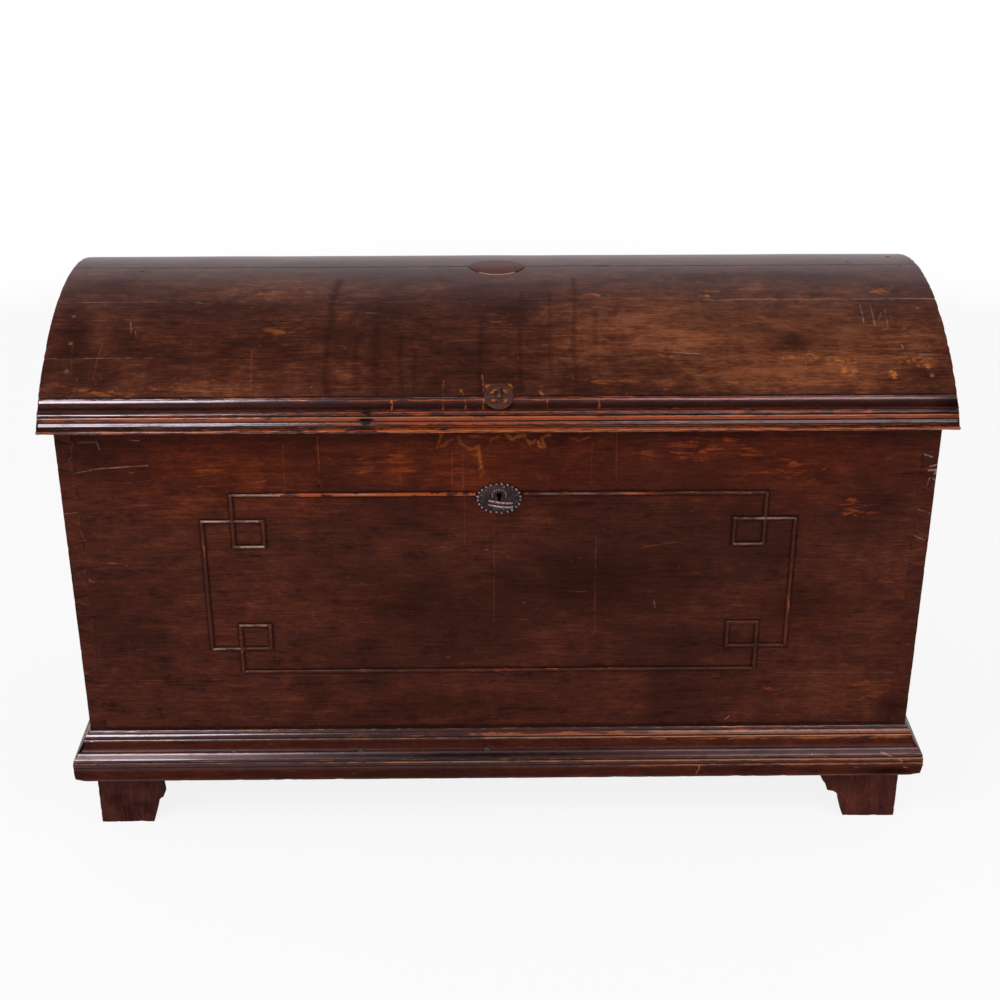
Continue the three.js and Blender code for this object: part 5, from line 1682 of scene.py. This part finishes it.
def lens(spare):
    """The patch's outline in X and Y: two arcs that meet in a point at each end."""
    reach, bulge = PATCH_LENGTH / 2 + spare, PATCH_WIDTH / 2 + spare
    radius = (reach ** 2 + bulge ** 2) / (2 * bulge)
    angle = math.asin(min(1.0, reach / radius))
    ring = []
    for sign in (-1, 1):
        for i in range(LENS_STEPS):
            turn = -angle + 2 * angle * i / LENS_STEPS
            y = radius * math.cos(turn) - radius + bulge
            ring.append((-sign * radius * math.sin(turn), ridge_y - sign * y))
    return ring


def lens_block(spare, low, high):
    """A prism over the lens whose bottom and top follow the dome at two radii."""
    work = bmesh.new()
    near_edge = work.verts.layers.float.new("near_edge")
    rings = []
    for radius, shrink in ((low, 0.0), *[(high - drop, -cut) for drop, cut in LENS_EASING]):
        ring = []
        for x, y in lens(spare + shrink):
            z = DOME_CENTRE_Z + math.sqrt(radius ** 2 - (y - MIDDLE_Y) ** 2)
            vert = work.verts.new(Vector((x, y, z)) * MM)
            front_lip = high - 1 < radius < high and y < ridge_y - 0.34 * PATCH_WIDTH
            vert[near_edge] = 1.0 if front_lip else 0.0
            ring.append(vert)
        rings.append(ring)
    for ring, after in zip(rings, rings[1:]):
        for i in range(len(ring)):
            k = (i + 1) % len(ring)
            work.faces.new((ring[i], ring[k], after[k], after[i]))
    for ring, radius in ((rings[0], low), (rings[-1], high)):
        count = len(ring) // 2
        for i in range(count):
            mate, mate_after = ring[-i % len(ring)], ring[-(i + 1) % len(ring)]
            face = [ring[i], ring[(i + 1) % len(ring)], mate_after, mate]
            face = list(dict.fromkeys(face))
            if len(face) > 2:
                work.faces.new(face)
    bmesh.ops.recalc_face_normals(work, faces=work.faces)
    return work


cutter_work = lens_block(
    RECESS_SPARE, DOME_RADIUS - PATCH_DEPTH - GAP, DOME_RADIUS + RECESS_OVERRUN
)
cutter_mesh = bpy.data.meshes.new("recess")
cutter_work.to_mesh(cutter_mesh)
cutter_work.free()
cutter = bpy.data.objects.new("recess", cutter_mesh)
bpy.context.scene.collection.objects.link(cutter)

for index in range(len(seams) - 1):
    start, end = seams[index] + HALF_GAP, seams[index + 1] - HALF_GAP
    section = arc_path(INNER_RADIUS, start, end, 14) + arc_path(DOME_RADIUS, end, start, 4.5)
    stave = moulded(
        f"lid_stave_{index + 1}_worn",
        eased(section, 0.3),
        lid_run,
        dome_varnish,
        "lid",
        pitch=8,
        board=41 + index,
        sway=0.45,
        chip=1.2,
        ragged=2.2,
        smooth=30,
        rub=0.0,
        polish=0.0,
    )
    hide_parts(f"lid_stave_{index + 1}")
    if index in (2, 3):
        cut = stave.modifiers.new("recess", "BOOLEAN")
        cut.object = cutter
        cut.solver = "EXACT"
        bpy.context.view_layer.update()
        whole = bpy.data.meshes.new_from_object(
            stave.evaluated_get(bpy.context.evaluated_depsgraph_get())
        )
        stave.modifiers.clear()
        stave.data = whole
bpy.data.objects.remove(cutter)


# Patch: a lens of the same wood let into the two staves over the ridge seam, to close a split. It
# stands a little proud, and its front edge is rubbed pale.
patch_varnish = old_varnish(
    "shellac_on_ridge_patch",
    tones=("#35140f", "#54221b", "#6c3026"),
    rubbed="#7c3c2c",
    bare="#b08a7c",
    edges=0.6,
    gloss=0.42,
    level=0.04,
    sheen=1.8,
    dome=True,
)
patch = finish_mesh(
    "lid_patch_worn",
    lens_block(0.0, DOME_RADIUS - PATCH_DEPTH, DOME_RADIUS + PATCH_PROUD),
    patch_varnish,
    "lid",
    30,
)
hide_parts("lid_patch")


# Rosette: a pierced iron disc over the joint of dome and moulding, where the keeper's iron is
# clenched. Four lobed openings show the rubbed wood below, and its rim is beaded.
ROSETTE_RADIUS = 20.5
ROSETTE_IRON = 2
ROSETTE_DROP = 1.6
lean = DOME_HALF_ANGLE
rosette_along = Vector((0, -math.cos(lean), -math.sin(lean)))
rosette_out = Vector((0, -math.sin(lean), math.cos(lean)))
rosette_middle = Vector((0, MIDDLE_Y - DOME_EDGE_Y, DOME_EDGE_Z))
rosette_middle += rosette_along * ROSETTE_DROP + rosette_out * GAP


def on_rosette(u, v, height):
    return rosette_middle + Vector((u, 0, 0)) - rosette_along * v + rosette_out * height


def lobe(quarter):
    """One opening: a rounded heart between two arms of the cross. The upper two are wider."""
    ring = []
    middle = math.radians(90 * quarter + 45)
    length, width = (5.9, 0.62) if quarter in (0, 1) else (4.8, 0.5)
    for i in range(20):
        turn = 2 * math.pi * i / 20
        reach = 10.3 + length * math.cos(turn)
        swing = width * math.sin(turn) * (1.1 if math.cos(turn) > 0 else 0.9)
        ring.append((reach * math.cos(middle + swing), reach * math.sin(middle + swing)))
    return ring


work = bmesh.new()
work.verts.layers.float.new("crown_share")
pierced_plate(
    work,
    oval_ring(ROSETTE_RADIUS, ROSETTE_RADIUS, 60),
    [lobe(quarter) for quarter in range(4)],
    on_rosette,
    ROSETTE_IRON,
    0.5,
)
ROSETTE_BEADS = 22
for u, v in oval_ring(ROSETTE_RADIUS - RIM_BEAD_INSET, ROSETTE_RADIUS - RIM_BEAD_INSET, ROSETTE_BEADS):
    dome_bead(work, on_rosette(u, v, ROSETTE_IRON - BEAD_SINK), 1.7, 0.7, rosette_out)
BOSS_RADIUS = 5.2
dome_bead(work, on_rosette(0, 0, ROSETTE_IRON - BEAD_SINK), BOSS_RADIUS, 0.6, rosette_out, 20, 7)
bmesh.ops.recalc_face_normals(work, faces=work.faces)
# Its bead crowns and boss take a paler brown: partly rubbed iron, partly a painted highlight
rosette_iron = forged_iron("varnished_over_rosette_iron", "#3d1d16", "#4a241b", 0.0, 0.5, "#8a6c60", 0.1)
rosette = finish_mesh("lid_rosette_pierced", work, rosette_iron, "lid", 40)
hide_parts("lid_rosette")


# Pegs: whittled pegs through the staves into the gables, cut off flush. Their end grain takes less
# stain, so each is a paler round with a dark line about it.
def peg_finish(name):
    made, tree, place = new_finish(name)
    speckle = pattern(tree, place, (2.0, 2.0, 2.0), 4.0, 0.6)
    edge = add(tree, "ShaderNodeAttribute", attribute_name="crown_share", out="Fac")
    colour = add(
        tree,
        "ShaderNodeMix",
        [step(tree, speckle, 0.35, 0.65), linear("#4a2c24"), linear("#75513f")],
        data_type="RGBA",
    )
    colour = add(
        tree, "ShaderNodeMix", [step(tree, edge, 0.5, 0.1), colour, linear("#231210")], data_type="RGBA"
    )
    relief = add(tree, "ShaderNodeBump", {"Strength": 0.5, "Distance": 0.2 * MM, "Height": speckle})
    shader = add(
        tree,
        "ShaderNodeBsdfPrincipled",
        {"Base Color": colour, "Roughness": 0.5, "Specular IOR Level": 0.06, "Normal": relief},
    )
    add(tree, "ShaderNodeOutputMaterial", {"Surface": shader})
    return made


PEGS = [
    (-615, -27.2), (-614, -34.0), (-541, -0.7), (-626, -1.7), (-622, 6.6), (-619, -19.5),
    (-621, 12.0), (-618, 22.0), (-622, 29.5), (-619, 37.0), (591.5, -24.1), (616.7, 9.2),
    (545, 3.9), (619, -18.0), (621, -29.0), (618, -36.0), (622, -8.0), (620, 0.5),
    (619, 21.5), (622, 30.0), (618, 36.5),
]
PEG_RADIUS = 3.8
PEG_SINK = 0.2
work = bmesh.new()
for x, degrees in PEGS:
    centre = on_dome(x, degrees, DOME_RADIUS - PEG_SINK)
    dome_bead(work, centre, PEG_RADIUS, 0.14, out_of_dome(degrees), 16, 4)
bmesh.ops.recalc_face_normals(work, faces=work.faces)
finish_mesh("lid_pegs", work, peg_finish("peg_end_grain"), "lid", 50)


# Studio: a pale floor that fades to white, a wide soft light above and to the left, a weaker one to
# the right, two more that only the varnish reflects, and the camera where the photograph was taken.
def floor_finish(name):
    made, tree, place = new_finish(name)
    grit = pattern(tree, place, (900.0, 900.0, 900.0), 2.0, 0.5)
    pale = add(
        tree, "ShaderNodeMix", [grit, linear("#f4f3f2"), linear("#fbfaf9")], data_type="RGBA"
    )
    near = add(tree, "ShaderNodeBsdfDiffuse", {"Color": pale})
    white = add(tree, "ShaderNodeEmission", {"Color": (1.0, 1.0, 1.0, 1.0), "Strength": 1.0})
    seen = add(tree, "ShaderNodeLightPath", out="Is Camera Ray")
    shown = add(tree, "ShaderNodeMath", [seen, 0.86], operation="MULTIPLY")
    reach = add(tree, "ShaderNodeVectorMath", [place], operation="LENGTH")
    far = step(tree, reach, 1000.0, 3000.0)
    paleness = add(tree, "ShaderNodeMath", [shown, far], operation="MAXIMUM")
    shader = add(tree, "ShaderNodeMixShader", [paleness, near, white])
    add(tree, "ShaderNodeOutputMaterial", {"Surface": shader})
    return made


FLOOR = 30.0
floor_mesh = bpy.data.meshes.new("floor")
floor_mesh.from_pydata(
    [(-FLOOR, -FLOOR, 0), (FLOOR, -FLOOR, 0), (FLOOR, FLOOR, 0), (-FLOOR, FLOOR, 0)], [], [(0, 1, 2, 3)]
)
floor_mesh.materials.append(floor_finish("pale_studio_floor"))
floor = bpy.data.objects.new("floor", floor_mesh)
bpy.context.scene.collection.objects.link(floor)

world = bpy.data.worlds.new("studio")
bpy.context.scene.world = world
world.use_nodes = True
sky = world.node_tree
sky.nodes.clear()
seen = add(sky, "ShaderNodeLightPath", out="Is Camera Ray")
AMBIENT = 0.55
strength = add(sky, "ShaderNodeMapRange", [seen, 0.0, 1.0, AMBIENT, 1.0])
backdrop = add(sky, "ShaderNodeBackground", {"Color": (1.0, 1.0, 1.0, 1.0), "Strength": strength})
add(sky, "ShaderNodeOutputWorld", {"Surface": backdrop})


def soft_light(name, place, aim, size, power):
    lamp = bpy.data.lights.new(name, "AREA")
    lamp.shape = "RECTANGLE"
    lamp.size, lamp.size_y = size
    lamp.energy = power
    made = bpy.data.objects.new(name, lamp)
    made.location = place
    made.rotation_euler = (Vector(aim) - Vector(place)).to_track_quat("-Z", "Y").to_euler()
    bpy.context.scene.collection.objects.link(made)
    return made


soft_light("key_softbox", (-1.8, -2.0, 2.6), (0, 0, 0.5), (1.6, 1.2), 42)
soft_light("fill_softbox", (2.4, -1.8, 2.2), (0, 0, 0.4), (1.4, 1.4), 22)
for gloss in (
    soft_light("gloss_softbox", (-1.3, -2.2, 2.3), (-0.5, -0.28, 0.45), (1.0, 2.1), 150),
    soft_light("weak_gloss_softbox", (1.1, -2.2, 2.3), (0.5, -0.28, 0.45), (1.2, 2.1), 38),
):
    gloss.visible_diffuse = False

PITCH = math.radians(26)
YAW = math.radians(0.83)
ROLL = math.radians(-0.018)
LENS_PIXELS = 1671.278
FRAME_PIXELS = 1000
CAMERA_PLACE = (-0.030458, -2.453186, 1.631424)
ahead = Vector((math.sin(YAW) * math.cos(PITCH), math.cos(YAW) * math.cos(PITCH), -math.sin(PITCH)))
level = Vector((math.cos(YAW), -math.sin(YAW), 0))
down = ahead.cross(level)
right = level * math.cos(ROLL) + down * math.sin(ROLL)
down = down * math.cos(ROLL) - level * math.sin(ROLL)
lens_data = bpy.data.cameras.new("camera")
lens_data.lens = LENS_PIXELS / FRAME_PIXELS * lens_data.sensor_width
camera = bpy.data.objects.new("camera", lens_data)
facing = Matrix((right, -down, -ahead)).transposed().to_4x4()
camera.matrix_world = Matrix.Translation(CAMERA_PLACE) @ facing
bpy.context.scene.collection.objects.link(camera)
bpy.context.scene.camera = camera
bpy.context.scene.view_settings.view_transform = "Standard"
